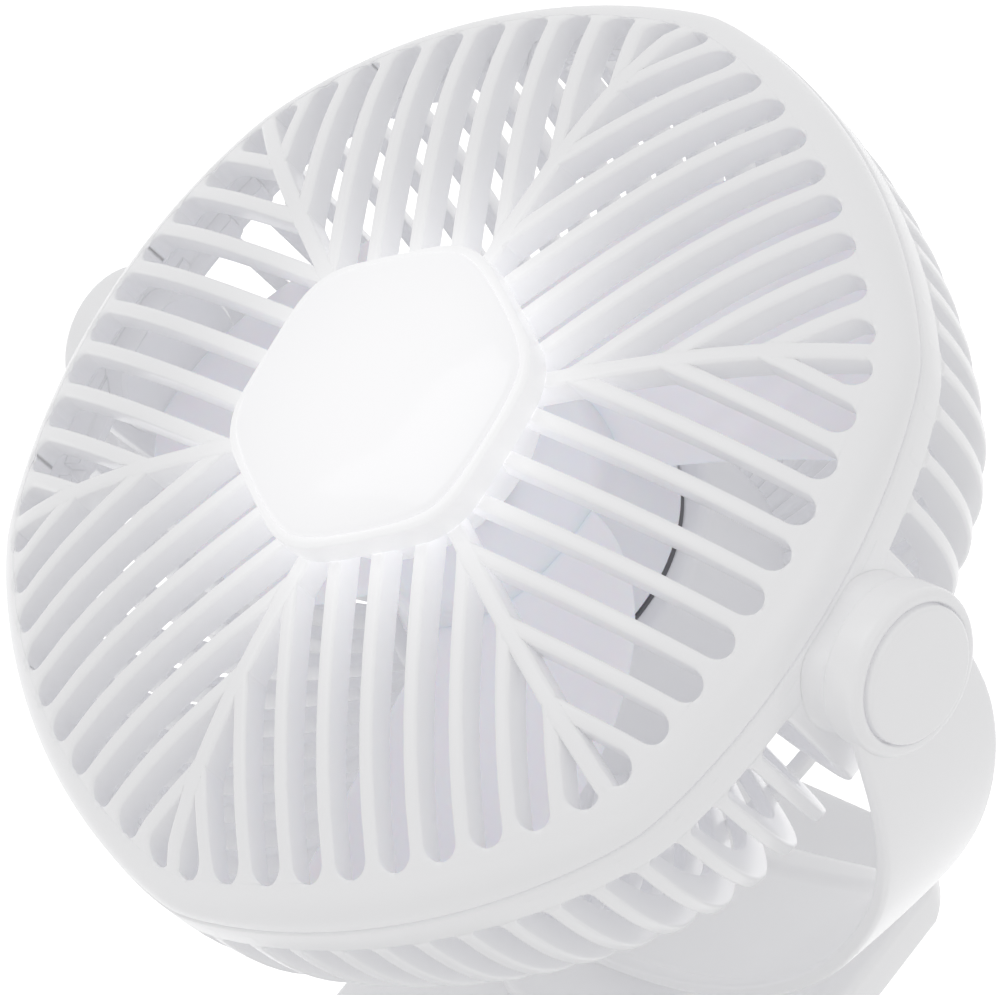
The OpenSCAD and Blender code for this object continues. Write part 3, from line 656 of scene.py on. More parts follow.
@dataclass(frozen=True)
class CircuitBoard(Finish):
    """Lacquered board with a faint weave of glass cloth and copper below."""

    copper: tuple[float, float, float] = (0.07, 0.30, 0.15)
    run_scale: float = 420.0
    run_stretch: tuple[float, float, float] = (1.0, 1.0, 0.6)
    run_start: float = 0.42
    run_depth: float = 0.0001
    spread: float = 0.1

    def dress(self, shader: Shader) -> None:
        """Lays straight copper runs under the lacquer by a stretched cell pattern.

        Args:
            shader: The empty material's shader.
        """
        runs = shader.node("ShaderNodeTexVoronoi", {"distance": "CHEBYCHEV"},
                           {"Vector": shader.where(self.run_stretch), "Scale": self.run_scale})
        run = shader.math("GREATER_THAN", Value(shader, runs.outputs["Distance"]), self.run_start)
        shader.surface(
            Base_Color=shader.blend(run, self.colour, self.copper),
            Roughness=run * self.spread + self.roughness,
            Normal=shader.bump(0.3, self.run_depth, run))


SHELL_COLOUR = (0.86, 0.86, 0.87)
SHELL_ROUGHNESS = 0.34
# Middle of the lamp's glow and of the painted halo round it: its height along the head's axis, and its place in
# metres.
GLOW_Z = 31.25
LAMP_SPOT = tuple(float(v) for v in Part.HEAD.to_world(np.array([[0.0, 0.0, GLOW_Z]]))[0])

WHITE = MouldedPlastic("white_satin_shell", SHELL_COLOUR, SHELL_ROUGHNESS)
INNER = MouldedPlastic("plain_white_inside", (0.84, 0.84, 0.85), 0.5, coat=0.0)
BUTTON = MouldedPlastic("moulded_button", (0.78, 0.79, 0.80), 0.4)
ICE = IcePlastic("ice_impeller", (0.84, 0.845, 0.89), 0.22)
# White plastic of the grille and the collar, with a painted halo of lamp light round the lens.
WHITE_WITH_PAINTED_HALO = PaintedHaloPlastic("white_satin_with_painted_halo", SHELL_COLOUR, SHELL_ROUGHNESS, centre=LAMP_SPOT,
                       edge=0.0)
LENS = GlowingLens("glowing_frosted_lens", (0.80, 0.80, 0.81), 0.3, strength=0.3, centre=LAMP_SPOT,
                   turn=math.radians(STANCE.head_turn))
STEEL = Metal("plated_steel", (0.62, 0.62, 0.63), 0.26)
CAN = Metal("drawn_steel_can", (0.55, 0.55, 0.57), 0.3, stretch=(1.0, 12.0, 1.0))
RUBBER = SoftRubber("soft_dark_rubber", (0.05, 0.05, 0.055), 0.7)
BOARD = CircuitBoard("green_board", (0.03, 0.17, 0.08), 0.35)
LED_BOARD = CircuitBoard("white_led_board", (0.80, 0.79, 0.74), 0.4, copper=(0.86, 0.85, 0.80))
CELLS = MouldedPlastic("shrink_wrapped_cells", (0.10, 0.36, 0.26), 0.25, cloud=0.04, painted_glow=0.0)

SLOT_FINISH: dict[str, Finish] = {
    "white_shell": WHITE, "white_inner": INNER, "frosted_lens": LENS, "ice_fan": ICE, "steel": STEEL,
    "motor_steel": CAN, "dark_rubber": RUBBER, "board": BOARD, "led_board": LED_BOARD,
    "cell_wrap": CELLS, "button_white": BUTTON}


def dress_nodes() -> None:
    """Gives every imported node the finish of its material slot."""
    for row in frame["record"]["subparts"]:
        node = frame["nodes"][row["node"]]
        node.data.materials.clear()
        node.data.materials.append(SLOT_FINISH[row["material_slot"]].material())


# ---------------------------------------------------------------- the head's outline


@dataclass(frozen=True)
class HeadForm:
    """The rounded hexagon and the dome that the grille and the shell share."""

    half: float = 72.0
    side: float = 98.0
    corner_cut: float = 0.2
    pitch: float = 7.0
    crown_bars: float = 8.0
    crown: float = 3.85
    top: float = 25.85
    seam: float = 10.0
    corner_blend: float = 0.3
    droop: float = 1.33
    droop_r: float = 66.5
    corner_r: float = 71.4
    droop_power: float = 8.0
    steps: int = 1080

    @property
    def crown_r(self) -> float:
        """Distance from the axis at which the front has fallen by the crown."""
        return self.crown_bars * self.pitch

    def arc(self, half: float, angle: Array) -> Array:
        """Distance to a side arc, from the flat's middle: (h - R) cos a + sqrt(R^2 - ((h - R) sin a)^2)."""
        centre = half - self.side
        return centre * np.cos(angle) + np.sqrt(self.side ** 2 - (centre * np.sin(angle)) ** 2)

    def reach(self, half: float, angle: Array) -> Array:
        """Outline radius: the lower of the side arc and a circle that cuts the corners, softly joined.

        Args:
            half: Half the width across flats.
            angle: Angles about the head's axis.

        Returns:
            The distance from the axis at each angle.
        """
        local = from_flat(angle)
        corner = float(self.arc(half, np.array(math.pi / 6))) - self.corner_cut
        return soft_min(self.arc(half, local), np.full_like(local, corner), self.corner_blend)

    def dome(self, x: Array, y: Array) -> Array:
        """Height of the grille's front, which droops at the corners above and below.

        The formula is top - crown * (r / crown_r)^4 - droop * smooth(share) * (y / r)^8, where
        the share runs from 0 at droop_r to 1 at corner_r.

        Args:
            x: Places in the head's plane.
            y: The same, upwards.

        Returns:
            The height at each place.
        """
        radius = np.hypot(x, y)
        late = smooth((radius - self.droop_r) / (self.corner_r - self.droop_r))
        droop = self.droop * late * (y / radius) ** self.droop_power
        return self.top - self.crown * (radius / self.crown_r) ** 4 - droop


FORM = HeadForm()


@dataclass(frozen=True)
class Grille:
    """The leaf-vein grille: parallel bars in six sectors that run into six spines and a smooth rim."""

    bar_w: float = 2.3
    bar_depth: float = 5.0
    spine_w: float = 2.6
    rim_w: float = 4.2
    ease: float = 0.65
    sink: float = 0.03
    inner_r: float = 19.4
    last_bar: int = 5
    columns: int = 13
    hub_front_r: float = 22.3
    hub_back_r: float = 18.9
    hub_back_z: float = 16.75
    hub_bore_r: float = 17.3
    hub_hole_r: float = 4.0
    hub_floor_t: float = 2.2
    hub_sink: float = 0.15
    spine_end: float = 70.9
    tuck: float = 0.8
    dive: float = 0.4
    back_ease: float = 0.6
    run_in: float = 0.8
    lap: float = 0.2
    rim_steps: int = 17
    rim_reach: float = 0.62
    rim_lift: float = 0.47
    seam_gap: float = 0.4
    # The foot of the rim and the groove inside the seam, as pairs of a distance in from the
    # outline and a height over the foot.
    groove: tuple[tuple[float, float], ...] = (
        (1.3, -0.1), (1.4, -0.38), (1.6, -0.38), (1.7, 0.3), (2.6, 0.4))
    # The rim's back: how far in it starts, how far it stays below the bars' back and over the foot,
    # and how far it stops short of the bars.
    back_in: float = 3.2
    back_low: float = 0.4
    back_rise: float = 0.8
    back_lap: float = 0.1

    @property
    def slot_w(self) -> float:
        """Width of a slot."""
        return FORM.pitch - self.bar_w

    def slot_end(self, y: Array) -> Array:
        """How far a slot reaches along its sector's middle line at a distance y beside it."""
        return FORM.half - FORM.side + np.sqrt((FORM.side - self.rim_w) ** 2 - y ** 2)

    def clear(self, x: Array, y: Array) -> Array:
        """Distance to the nearest slot: a slot is a long capsule cut off by the spines beside its sector.

        Args:
            x: Places in the head's plane.
            y: The same, upwards.

        Returns:
            The distance, negative inside a slot.
        """
        nearest = np.full(x.shape, np.inf)
        slots = (np.arange(-self.last_bar, self.last_bar) + 0.5) * FORM.pitch
        stops = self.slot_end(slots) - self.slot_w / 2
        for turn in np.arange(6) * math.pi / 3:
            along = x * math.cos(turn) + y * math.sin(turn)
            across = y * math.cos(turn) - x * math.sin(turn)
            wedge = self.spine_w / 2 - (along * 0.5 - np.abs(across) * math.sqrt(0.75))
            for slot, stop in zip(slots, stops):
                capsule = np.hypot(np.maximum(along - stop, 0), across - slot) - self.slot_w / 2
                nearest = np.minimum(nearest, np.maximum(capsule, wedge))
        return nearest

    def rounding(self, distance: Array) -> Array:
        """Drop of the front beside a slot: a quarter circle of the easing radius."""
        inside = self.ease - np.clip(distance, 0, self.ease)
        return self.ease - np.sqrt(self.ease ** 2 - inside ** 2)

    def solid(self, plan: Array, sink: float) -> Array:
        """Makes closed sections from plan rows: the eased front above and the eased back below.

        A part that runs into the rim ends just inside it, and dives a little on the way.

        Args:
            plan: Places of shape (rows, columns, 2), each row from one edge to the other.
            sink: How far the piece lies below the dome.

        Returns:
            Closed sections of shape (rows, 2 * columns, 3).
        """
        radius = np.hypot(plan[..., 0], plan[..., 1])
        limit = FORM.reach(FORM.half - self.rim_w, np.arctan2(plan[..., 1], plan[..., 0]))
        deep = np.tanh(np.maximum(radius - limit, 0) / self.tuck)
        x, y = np.moveaxis(plan * (np.minimum(radius, limit + self.tuck * deep) / radius)[..., None], -1, 0)
        drop = self.rounding(self.clear(x, y))
        front = FORM.dome(x, y) - sink - self.dive * deep ** 2
        upper = np.stack([x, y, front - drop], -1)
        lower = np.stack([x, y, front - self.bar_depth + self.back_ease * drop], -1)
        return np.concatenate([upper, lower[:, ::-1]], axis=1)

    def bar_plan(self, k: int) -> Array:
        """Plan of one bar: a strip whose edges flare to the slot ends' half circles.

        Args:
            k: The bar's number from the sector's middle.

        Returns:
            Places of shape (rows, columns, 2), in the sector's frame.
        """
        middle = k * FORM.pitch
        radius = self.slot_w / 2
        share = self.shares()
        inner = math.sqrt(max(self.inner_r ** 2 - middle ** 2, 0))
        start = max(abs(middle) * math.sqrt(3), inner)
        limit = (self.last_bar - 0.5) * FORM.pitch
        beside = [float(np.clip(middle + s * FORM.pitch / 2, -limit, limit)) for s in (-1, 1)]
        stops = self.slot_end(np.array(beside)) - radius
        stop = stops[0] + (stops[1] - stops[0]) * (share + 1) / 2
        start = min(start, float(stops.min()) - 0.6)
        quarter = np.linspace(0, math.pi / 2, 8)
        straight = np.linspace(0, 1, 9)[:-1, None]
        along = np.concatenate([start + (stop - start) * straight, stop + radius * np.sin(quarter)[:, None],
                                (stop + radius + self.run_in)[None]])
        narrow = np.full(len(straight), self.bar_w / 2)
        width = np.concatenate([narrow, FORM.pitch / 2 - radius * np.cos(quarter), [FORM.pitch / 2]])
        edge = along / math.sqrt(3) + self.lap
        across = np.clip(middle + width[:, None] * share, -edge, edge)
        return np.stack([along, across], -1)

    def spine_plan(self) -> Array:
        """Plan of one spine, along its sector's edge, out into the rim's corner.

        Returns:
            Places of shape (rows, columns, 2), along the x axis.
        """
        along = np.linspace(self.inner_r, self.spine_end, 28)[:, None]
        across = self.shares()[None] * self.spine_w / 2
        return np.stack(np.broadcast_arrays(along, across), -1)

    def shares(self) -> Array:
        """Places across a bar from -1 to 1 that crowd towards its edges: the sine of even angles."""
        return np.sin(np.linspace(-math.pi / 2, math.pi / 2, self.columns))

    def rim(self) -> Array:
        """Rim sections round the head: a cubic curve from the bars' front, over the edge, to the seam.

        Returns:
            Closed sections of shape (angles, columns, 3).
        """
        angle = around(FORM.steps)[:, None]
        outer = FORM.reach(FORM.half, angle)
        inner = FORM.reach(FORM.half - self.rim_w, angle)
        s = np.linspace(0, 1, self.rim_steps)[None]
        slope = -4 * FORM.crown / FORM.crown_r * (inner / FORM.crown_r) ** 3
        start = FORM.dome(inner * np.cos(angle), inner * np.sin(angle))
        foot = FORM.seam + self.seam_gap
        handle, lift = self.rim_reach * (outer - inner), self.rim_lift * (start - foot)
        weights = [(1 - s) ** 3, 3 * s * (1 - s) ** 2, 3 * s * s * (1 - s), s ** 3]
        radii = [inner, inner + handle, outer, outer]
        heights = [start, start + handle * slope, foot + lift, foot + 0 * start]
        radius = sum(w * r for w, r in zip(weights, radii))
        height = sum(w * h for w, h in zip(weights, heights))
        front = polar(radius, angle, height)
        front[..., 2] -= self.rounding(self.clear(front[..., 0], front[..., 1]))
        back = start - self.bar_depth
        under = [(outer - inset, foot + rise) for inset, rise in self.groove]
        under += [(outer - self.back_in, np.maximum(back - self.back_low, foot + self.back_rise)),
                  (inner + self.back_lap, back)]
        return np.concatenate([front, *(polar(r, angle, z) for r, z in under)], axis=1)

    def build(self) -> None:
        """Builds the whole grille as one piece."""
        shape = Shape()
        bars = [self.bar_plan(k) for k in range(-self.last_bar, self.last_bar + 1)]
        for turn in np.arange(6) * math.pi / 3:
            for plan in bars:
                shape.bar(self.solid(spun(plan, turn), self.sink))
            shape.bar(self.solid(spun(self.spine_plan(), turn + math.pi / 6), 0.0))
        shape.sheet(self.rim(), rows_close=True, columns_close=True)
        floor, mouth = self.hub_back_z + self.hub_floor_t, FORM.top - self.hub_sink
        shape.turned(bent([(self.hub_bore_r, floor), (self.hub_hole_r, floor),
                           (self.hub_hole_r, self.hub_back_z), (self.hub_back_r, self.hub_back_z),
                           (self.hub_front_r, mouth), (self.hub_bore_r, mouth)],
                          [0, 0.4, 0.4, 0.8, 0, 0], closed=True))
        # The grille's finish carries a painted halo of lamp light near the lens.
        piece("leaf_vein_grille", shape, Part.HEAD, "head", WHITE_WITH_PAINTED_HALO, ["front_grille"], 42.0)


# ---------------------------------------------------------------- lamp


@dataclass(frozen=True)
class Lamp:
    """The hub lamp: a soft hexagonal collar and a crowned frosted lens that glows."""

    half: float = 22.75
    corner: float = 1.075
    blend: float = 0.5
    collar_z: float = 25.85
    groove_z: float = 30.5
    lens_half: float = 21.95
    lens_corner: float = 1.06
    lens_blend: float = 1.2
    lens_rise: float = 3.6
    lens_reach: float = 25.0
    lens_lip: float = 0.45
    lens_roll: float = 0.03
    lens_foot: float = 0.1
    lens_draft: float = 0.998
    bore_r: float = 15.2
    ease: float = 0.9
    wall: float = 3.0

    @staticmethod
    def outline(half: float, corner: float, blend: float, steps: int = 240) -> Array:
        """Outline of a hexagon with much rounded corners: h / cos(a), cut off softly by a circle.

        Args:
            half: Half the width across flats.
            corner: The circle's radius, as a multiple of half.
            blend: How softly the circle joins the flats.
            steps: Points of the outline.

        Returns:
            The outline's points in x and y.
        """
        angle = around(steps)
        radius = soft_min(half / np.cos(from_flat(angle)), np.full_like(angle, corner * half), blend)
        return np.column_stack([radius * np.cos(angle), radius * np.sin(angle)])

    def collar(self) -> None:
        """Builds the collar with an eased front edge."""
        shape = Shape()
        top = self.groove_z
        ease = bent([(self.wall + 0.5, top), (0, top), (0, self.collar_z)], [0, self.ease, 0],
                    closed=False, steps=7)
        levels = np.concatenate([[[self.half - self.bore_r, top]], ease, [[self.wall, self.collar_z]]])
        shape.slab(lambda inset: self.outline(self.half - inset, self.corner, self.blend), levels)
        # The collar's finish carries a painted halo of lamp light near the lens.
        piece("lamp_collar", shape, Part.HEAD, "head", WHITE_WITH_PAINTED_HALO, ["lamp_housing"])

    def lens(self) -> None:
        """Builds the lens: a cap of a sphere, scaled to its rise, whose edge rolls down by the lip.

        The cap's height is sqrt(1 - (r / reach)^2) less its value at the edge, which counts by the
        fourth power of the share of the way out.
        """
        shape = Shape()
        share = np.sin(np.linspace(0, math.pi / 2, 28))
        edge = self.outline(self.lens_half, self.lens_corner, self.lens_blend)
        plan = edge[None] * share[:, None, None]
        radius = np.hypot(plan[..., 0], plan[..., 1])
        rim = np.hypot(edge[:, 0], edge[:, 1])[None]
        crown = self.cap(radius) - self.cap(rim) * share[:, None] ** 4
        low = self.cap(rim.max())
        roll = np.clip((share - 1 + self.lens_roll) / self.lens_roll, 0, 1)[:, None]
        height = self.groove_z + self.lens_lip + self.lens_rise * (1 - low) * crown / crown[:1]
        height = height - self.lens_lip * (1 - np.sqrt(1 - roll ** 2))
        top = np.dstack([plan, height])
        foot = raised(edge * self.lens_draft, self.groove_z - self.lens_foot)
        shape.bar(np.concatenate([top[1:], foot[None]]))
        piece("crowned_lens", shape, Part.HEAD, "head", LENS, ["lamp_lens"], 60.0)

    def cap(self, radius: Array) -> Array:
        """Height of a sphere of radius 1 at a distance from its axis: sqrt(1 - (r / reach)^2)."""
        return np.sqrt(1 - (radius / self.lens_reach) ** 2)

    def build(self) -> None:
        """Builds the lamp's two visible pieces."""
        self.collar()
        self.lens()


# ---------------------------------------------------------------- rear shell


@dataclass(frozen=True)
class RearShell:
    """The louvred back: a smooth band, meridional ribs, two closed panels, a disc and two pivot bosses."""

    half: float = 72.25
    band_z: float = 4.4
    shelf_t: float = 1.6
    shell_z: float = 8.0
    depth: float = 52.3
    power: float = 2.65
    last_t: float = math.radians(75.6)
    rib_count: int = 66
    first_rib: int = 3
    last_rib: int = 30
    rib_w: float = 2.2
    rib_depth: float = 5.0
    rib_ease: float = 0.5
    web: float = 1.3
    rib_lap: float = 0.2
    rib_tuck: float = 0.15
    tuck_below: float = 0.7
    tuck_run: float = 0.6
    band_t: float = 2.35
    panel_angle: float = math.radians(10.9)
    panel_t: float = 2.8
    panel_ease: float = 0.8
    disc_r: float = 29.0
    disc_t: float = 4.0
    ring_r: float = 42.0
    ring_w: float = 2.4
    cap_r: float = 19.1
    cap_t: float = 1.6
    boss_r: float = 11.2
    boss_face: float = 74.25
    boss_start: float = 67.95
    boss_ease: float = 0.8
    boss_foot: float = 0.4
    seam_gap: float = 0.4
    pin_r: float = 4.1
    fillet: float = 3.0
    cover: float = 0.6
    cup_r: float = 27.0
    cup_lip: float = 23.0
    cup_lip_t: float = 2.5
    cup_slope: float = 1.5
    cup_front: float = -15.1
    cup_bore: float = 24.0
    cup_seat_r: float = 18.6
    cup_seat: float = 12.0
    cup_floor: float = 2.2
    cup_hole_r: float = 3.0

    @property
    def back_z(self) -> float:
        """Height of the closed disc's outer face."""
        return self.shell_z - self.depth

    def meridian(self, reach: Array, inset: Array, t: Array) -> tuple[Array, Array]:
        """A superellipse: r = (reach - inset) cos(t)^(2/p) and z = top - (depth - inset) sin(t)^(2/p)."""
        radius = (reach - inset) * np.cos(t) ** (2 / self.power)
        return radius, self.shell_z - (self.depth - inset) * np.sin(t) ** (2 / self.power)

    def rib(self, angle: float) -> Array:
        """Sections of one rib down its meridian: oblongs on edge that flare in an arc into the band above.

        Args:
            angle: The rib's angle about the head's axis.

        Returns:
            Closed sections of shape (rows, columns, 3).
        """
        reach = FORM.reach(self.half, np.array([[angle]]))
        arc = np.linspace(0, math.pi / 2, 7)
        near = np.concatenate([[self.shell_z, self.band_z + self.rib_lap],
                               self.band_z - self.web * (1 - np.cos(arc))])
        first = np.arcsin(((self.shell_z - near) / self.depth) ** (self.power / 2))
        t = np.concatenate([first, np.linspace(first[-1], self.last_t, 26)[1:]])[:, None]
        half = self.rib_w / 2
        outline = bent(oblong(0, self.rib_depth, -half, half), [self.rib_ease] * 4, closed=True)
        inset, side = outline[None, :, 0], outline[None, :, 1]
        radius, height = self.meridian(reach, inset, t)
        below = self.web - np.clip(self.band_z - height, 0, self.web)
        radius = radius - self.rib_tuck * smooth((height - self.band_z + self.tuck_below) / self.tuck_run)
        side = side * (1 + (self.web - np.sqrt(self.web ** 2 - below ** 2)) / half)
        return spun(np.stack([radius, side, height], -1), angle)

    def panel(self, middle: float) -> Array:
        """Sections of one closed panel: a thin strip of the shell about a flat's middle.

        Args:
            middle: The angle of the flat's middle.

        Returns:
            Closed sections of shape (rows, columns, 3).
        """
        places = np.linspace(-1, 1, 13) * self.panel_angle * self.half
        radii = [self.panel_ease, *[0.0] * (len(places) - 2), self.panel_ease] * 2
        outline = bent([(x, 0.0) for x in places] + [(x, self.panel_t) for x in places[::-1]], radii,
                       closed=True)
        angle = (outline[:, 0] / self.half)[None] + middle
        radius, height = self.meridian(FORM.reach(self.half, angle), outline[None, :, 1],
                                       np.linspace(0, self.last_t, 32)[:, None])
        return polar(radius, angle, height)

    def band(self) -> Array:
        """Sections of the band below the seam, with the shelf that the ribs hang from.

        Returns:
            Closed sections of shape (angles, columns, 3).
        """
        shelf = self.band_z + self.shelf_t
        outline = bent([(0, self.band_z), (0, FORM.seam), (self.band_t, FORM.seam), (self.band_t, shelf),
                        (self.rib_depth, shelf), (self.rib_depth, self.band_z)],
                       [0.5, 0.55, 0.3, 0.4, 0.4, 0.4], closed=True)
        angle = around(FORM.steps)[:, None]
        return polar(FORM.reach(self.half, angle) - outline[None, :, 0], angle, outline[None, :, 1])

    def boss(self, face: float, start: float, flare: float) -> Array:
        """Sections of one pivot boss, from a cover over the pin's end to its face, with a concave fillet.

        Args:
            face: Where the boss ends, along x.
            start: Where it begins, inside the shell.
            flare: Radius of the fillet, 0 for none; it fades out towards the seam.

        Returns:
            Closed sections of shape (rows, columns, 3).
        """
        side = math.copysign(1.0, face)
        angle = around(72)[None]
        rise = np.linspace(0, max(flare, 0.1), 10)
        spread = flare - np.sqrt(np.maximum(flare ** 2 - (flare - rise) ** 2, 0)) if flare else 0 * rise
        foot = abs(start) + self.boss_foot
        rows = [(abs(start) - self.cover, self.boss_r - self.cover, 0.0), (abs(start), self.boss_r, 0.0)]
        rows += [(foot + x, self.boss_r, wide) for x, wide in zip(rise, spread)]
        ease = self.boss_ease
        rows += [(abs(face) - ease + ease * math.sin(a), self.boss_r - ease + ease * math.cos(a), 0.0)
                 for a in np.linspace(0, math.pi / 2, 6)]
        rows.append((abs(face), self.pin_r, 0.0))
        place, radius, wide = (np.array(c)[:, None] for c in zip(*rows))
        radius = radius + wide * (0.5 - 0.5 * np.cos(angle))
        roof = np.full(radius.shape, FORM.seam - self.seam_gap)
        height = soft_min(radius * np.cos(angle), roof, FORM.corner_blend)
        return np.stack([side * place + 0 * angle, radius * np.sin(angle), height], -1)

    def build(self) -> None:
        """Builds the whole shell as one piece."""
        shape = Shape()
        shape.sheet(self.band(), rows_close=True, columns_close=True)
        step = 2 * math.pi / self.rib_count
        for k in range(self.first_rib, self.last_rib + 1):
            shape.bar(self.rib(k * step))
            shape.bar(self.rib(-k * step))
        for middle in (0.0, math.pi):
            shape.bar(self.panel(middle))
        back = self.back_z
        disc = bent([(0, back + self.cap_t), (self.cap_r, back + self.cap_t), (self.cap_r, back),
                     (self.disc_r, back), (self.disc_r, back + self.disc_t), (0, back + self.disc_t)],
                    [0, 0.2, 0.5, 1.4, 0.8, 0], closed=True)
        shape.turned(disc, 144)
        half, low = self.ring_w / 2, back + self.ring_w
        ring = oblong(self.ring_r - half, self.ring_r + half, low, low + self.ring_w)
        shape.turned(bent(ring, [0.7] * 4, closed=True), 180)
        side = -STANCE.head_side
        shape.bar(self.boss(side + self.boss_face, side + self.boss_start, self.fillet))
        shape.bar(self.boss(side - self.boss_face, side - self.boss_start, 0.0))
        piece("louvred_shell", shape, Part.HEAD, "head", WHITE, ["rear_shell"], 40.0)

    def build_cup(self) -> None:
        """Builds the motor's cup, with a rolled front lip that stands close behind the fan's hub."""
        shape = Shape()
        low, front = self.back_z + self.disc_t, self.cup_front
        seat, floor = low + self.cup_seat, low + self.cup_floor
        under = front - self.cup_lip_t
        shape.turned(bent([(self.cup_hole_r, low), (self.cup_r, low), (self.cup_r, front),
                           (self.cup_lip, front), (self.cup_lip, under),
                           (self.cup_bore, under - self.cup_slope), (self.cup_bore, seat),
                           (self.cup_seat_r, seat), (self.cup_seat_r, floor), (self.cup_hole_r, floor)],
                          [0, 0.3, 1.6, 0.6, 0.4, 0.6, 0.3, 0.3, 0, 0], closed=True, steps=8), 144)
        piece("rolled_motor_cup", shape, Part.HEAD, "head", INNER, ["motor_mount"], 40.0)


# ---------------------------------------------------------------- impeller


@dataclass(frozen=True)
class Impeller:
    """Three swept blades with the thickness of an airfoil on a rounded conical hub."""

    front_z: float = 1.7
    rear_z: float = -14.3
    front_r: float = 18.9
    rear_r: float = 23.8
    wall: float = 2.0
    tip_r: float = 63.8
    root_r: float = 17.5
    blades: int = 3
    camber: float = 140.0
    thick: float = 1.6
    middle: float = math.radians(-62)
    turn: float = math.radians(2)
    lead: tuple[float, float] = (11.0, -49.0)
    trail: tuple[float, float] = (-86.0, -92.0)
    bore_r: float = 2.02
    socket_r: float = 5.0
    socket_z: float = -10.3
    round_start: float = 0.86
    round_reach: float = 0.16
    tip_gap: float = 0.05
    tip_thin: float = 0.9
    airfoil: float = 0.6
    camber_y: float = 20.0
    sink: float = 0.2

    def edges(self, radius: Array) -> tuple[Array, Array]:
        """Angles of the leading and trailing edges, which run evenly from the hub's rim to the tip.

        Args:
            radius: Distances from the axis.

        Returns:
            The two edges' angles at each distance, in radians.
        """
        share = (radius - self.front_r) / (self.tip_r - self.front_r)
        lead, trail = (root + (tip - root) * share for root, tip in (self.lead, self.trail))
        return np.radians(lead), np.radians(trail)

    def blade(self, k: int) -> Array:
        """Sections of one blade from root to tip.

        The mean surface is a cylinder of the camber radius. The thickness follows (1 - v^2)^airfoil
        across the blade, for v from -1 to 1, and the tip's corners are rounded.

        Args:
            k: The blade's number.

        Returns:
            Closed sections of shape (rows, columns, 3).
        """
        s = np.sin(np.linspace(0, math.pi / 2, 44))[:, None]
        radius = self.root_r + (self.tip_r - self.tip_gap - self.root_r) * s
        late = np.clip((s - self.round_start) / (1 - self.round_start), 0, 1)
        room = 1 - self.round_reach * (1 - np.sqrt(1 - late ** 2 * 0.999))
        lap = around(64)[None]
        v = np.cos(lap) * room
        lead, trail = self.edges(radius)
        angle = (lead + trail) / 2 + (lead - trail) / 2 * v
        half = self.thick / 2 * np.abs(np.sin(lap)) ** (2 * self.airfoil)
        half = half * np.sqrt(1 - late ** 2 * self.tip_thin)
        across = radius * np.sin(angle - self.middle)
        centre_y = self.camber_y + self.camber * math.sin(self.turn)
        centre_z = self.front_z - self.sink - self.camber * math.cos(self.turn)
        mean = centre_z + np.sqrt((self.camber - self.thick / 2) ** 2 - (across - centre_y) ** 2)
        return polar(radius, angle + 2 * math.pi * k / self.blades, mean + half * np.sign(np.sin(lap)))

    def build(self) -> None:
        """Builds hub and blades as one piece on the rotor."""
        shape = Shape()
        for k in range(self.blades):
            shape.bar(self.blade(k))
        under = self.front_z - self.wall
        shape.turned(bent([(self.bore_r, self.front_z), (self.front_r, self.front_z),
                           (self.rear_r, self.rear_z), (self.rear_r - self.wall, self.rear_z),
                           (self.front_r - self.wall, under), (self.socket_r, under),
                           (self.socket_r, self.socket_z), (self.bore_r, self.socket_z)],
                          [0, 2.6, 0.8, 0.8, 1.5, 0.5, 0.4, 0], closed=True, steps=8), 144)
        piece("swept_impeller", shape, Part.HEAD, "rotor", ICE, ["fan_blade"], 50.0)


# ---------------------------------------------------------------- yoke and knobs


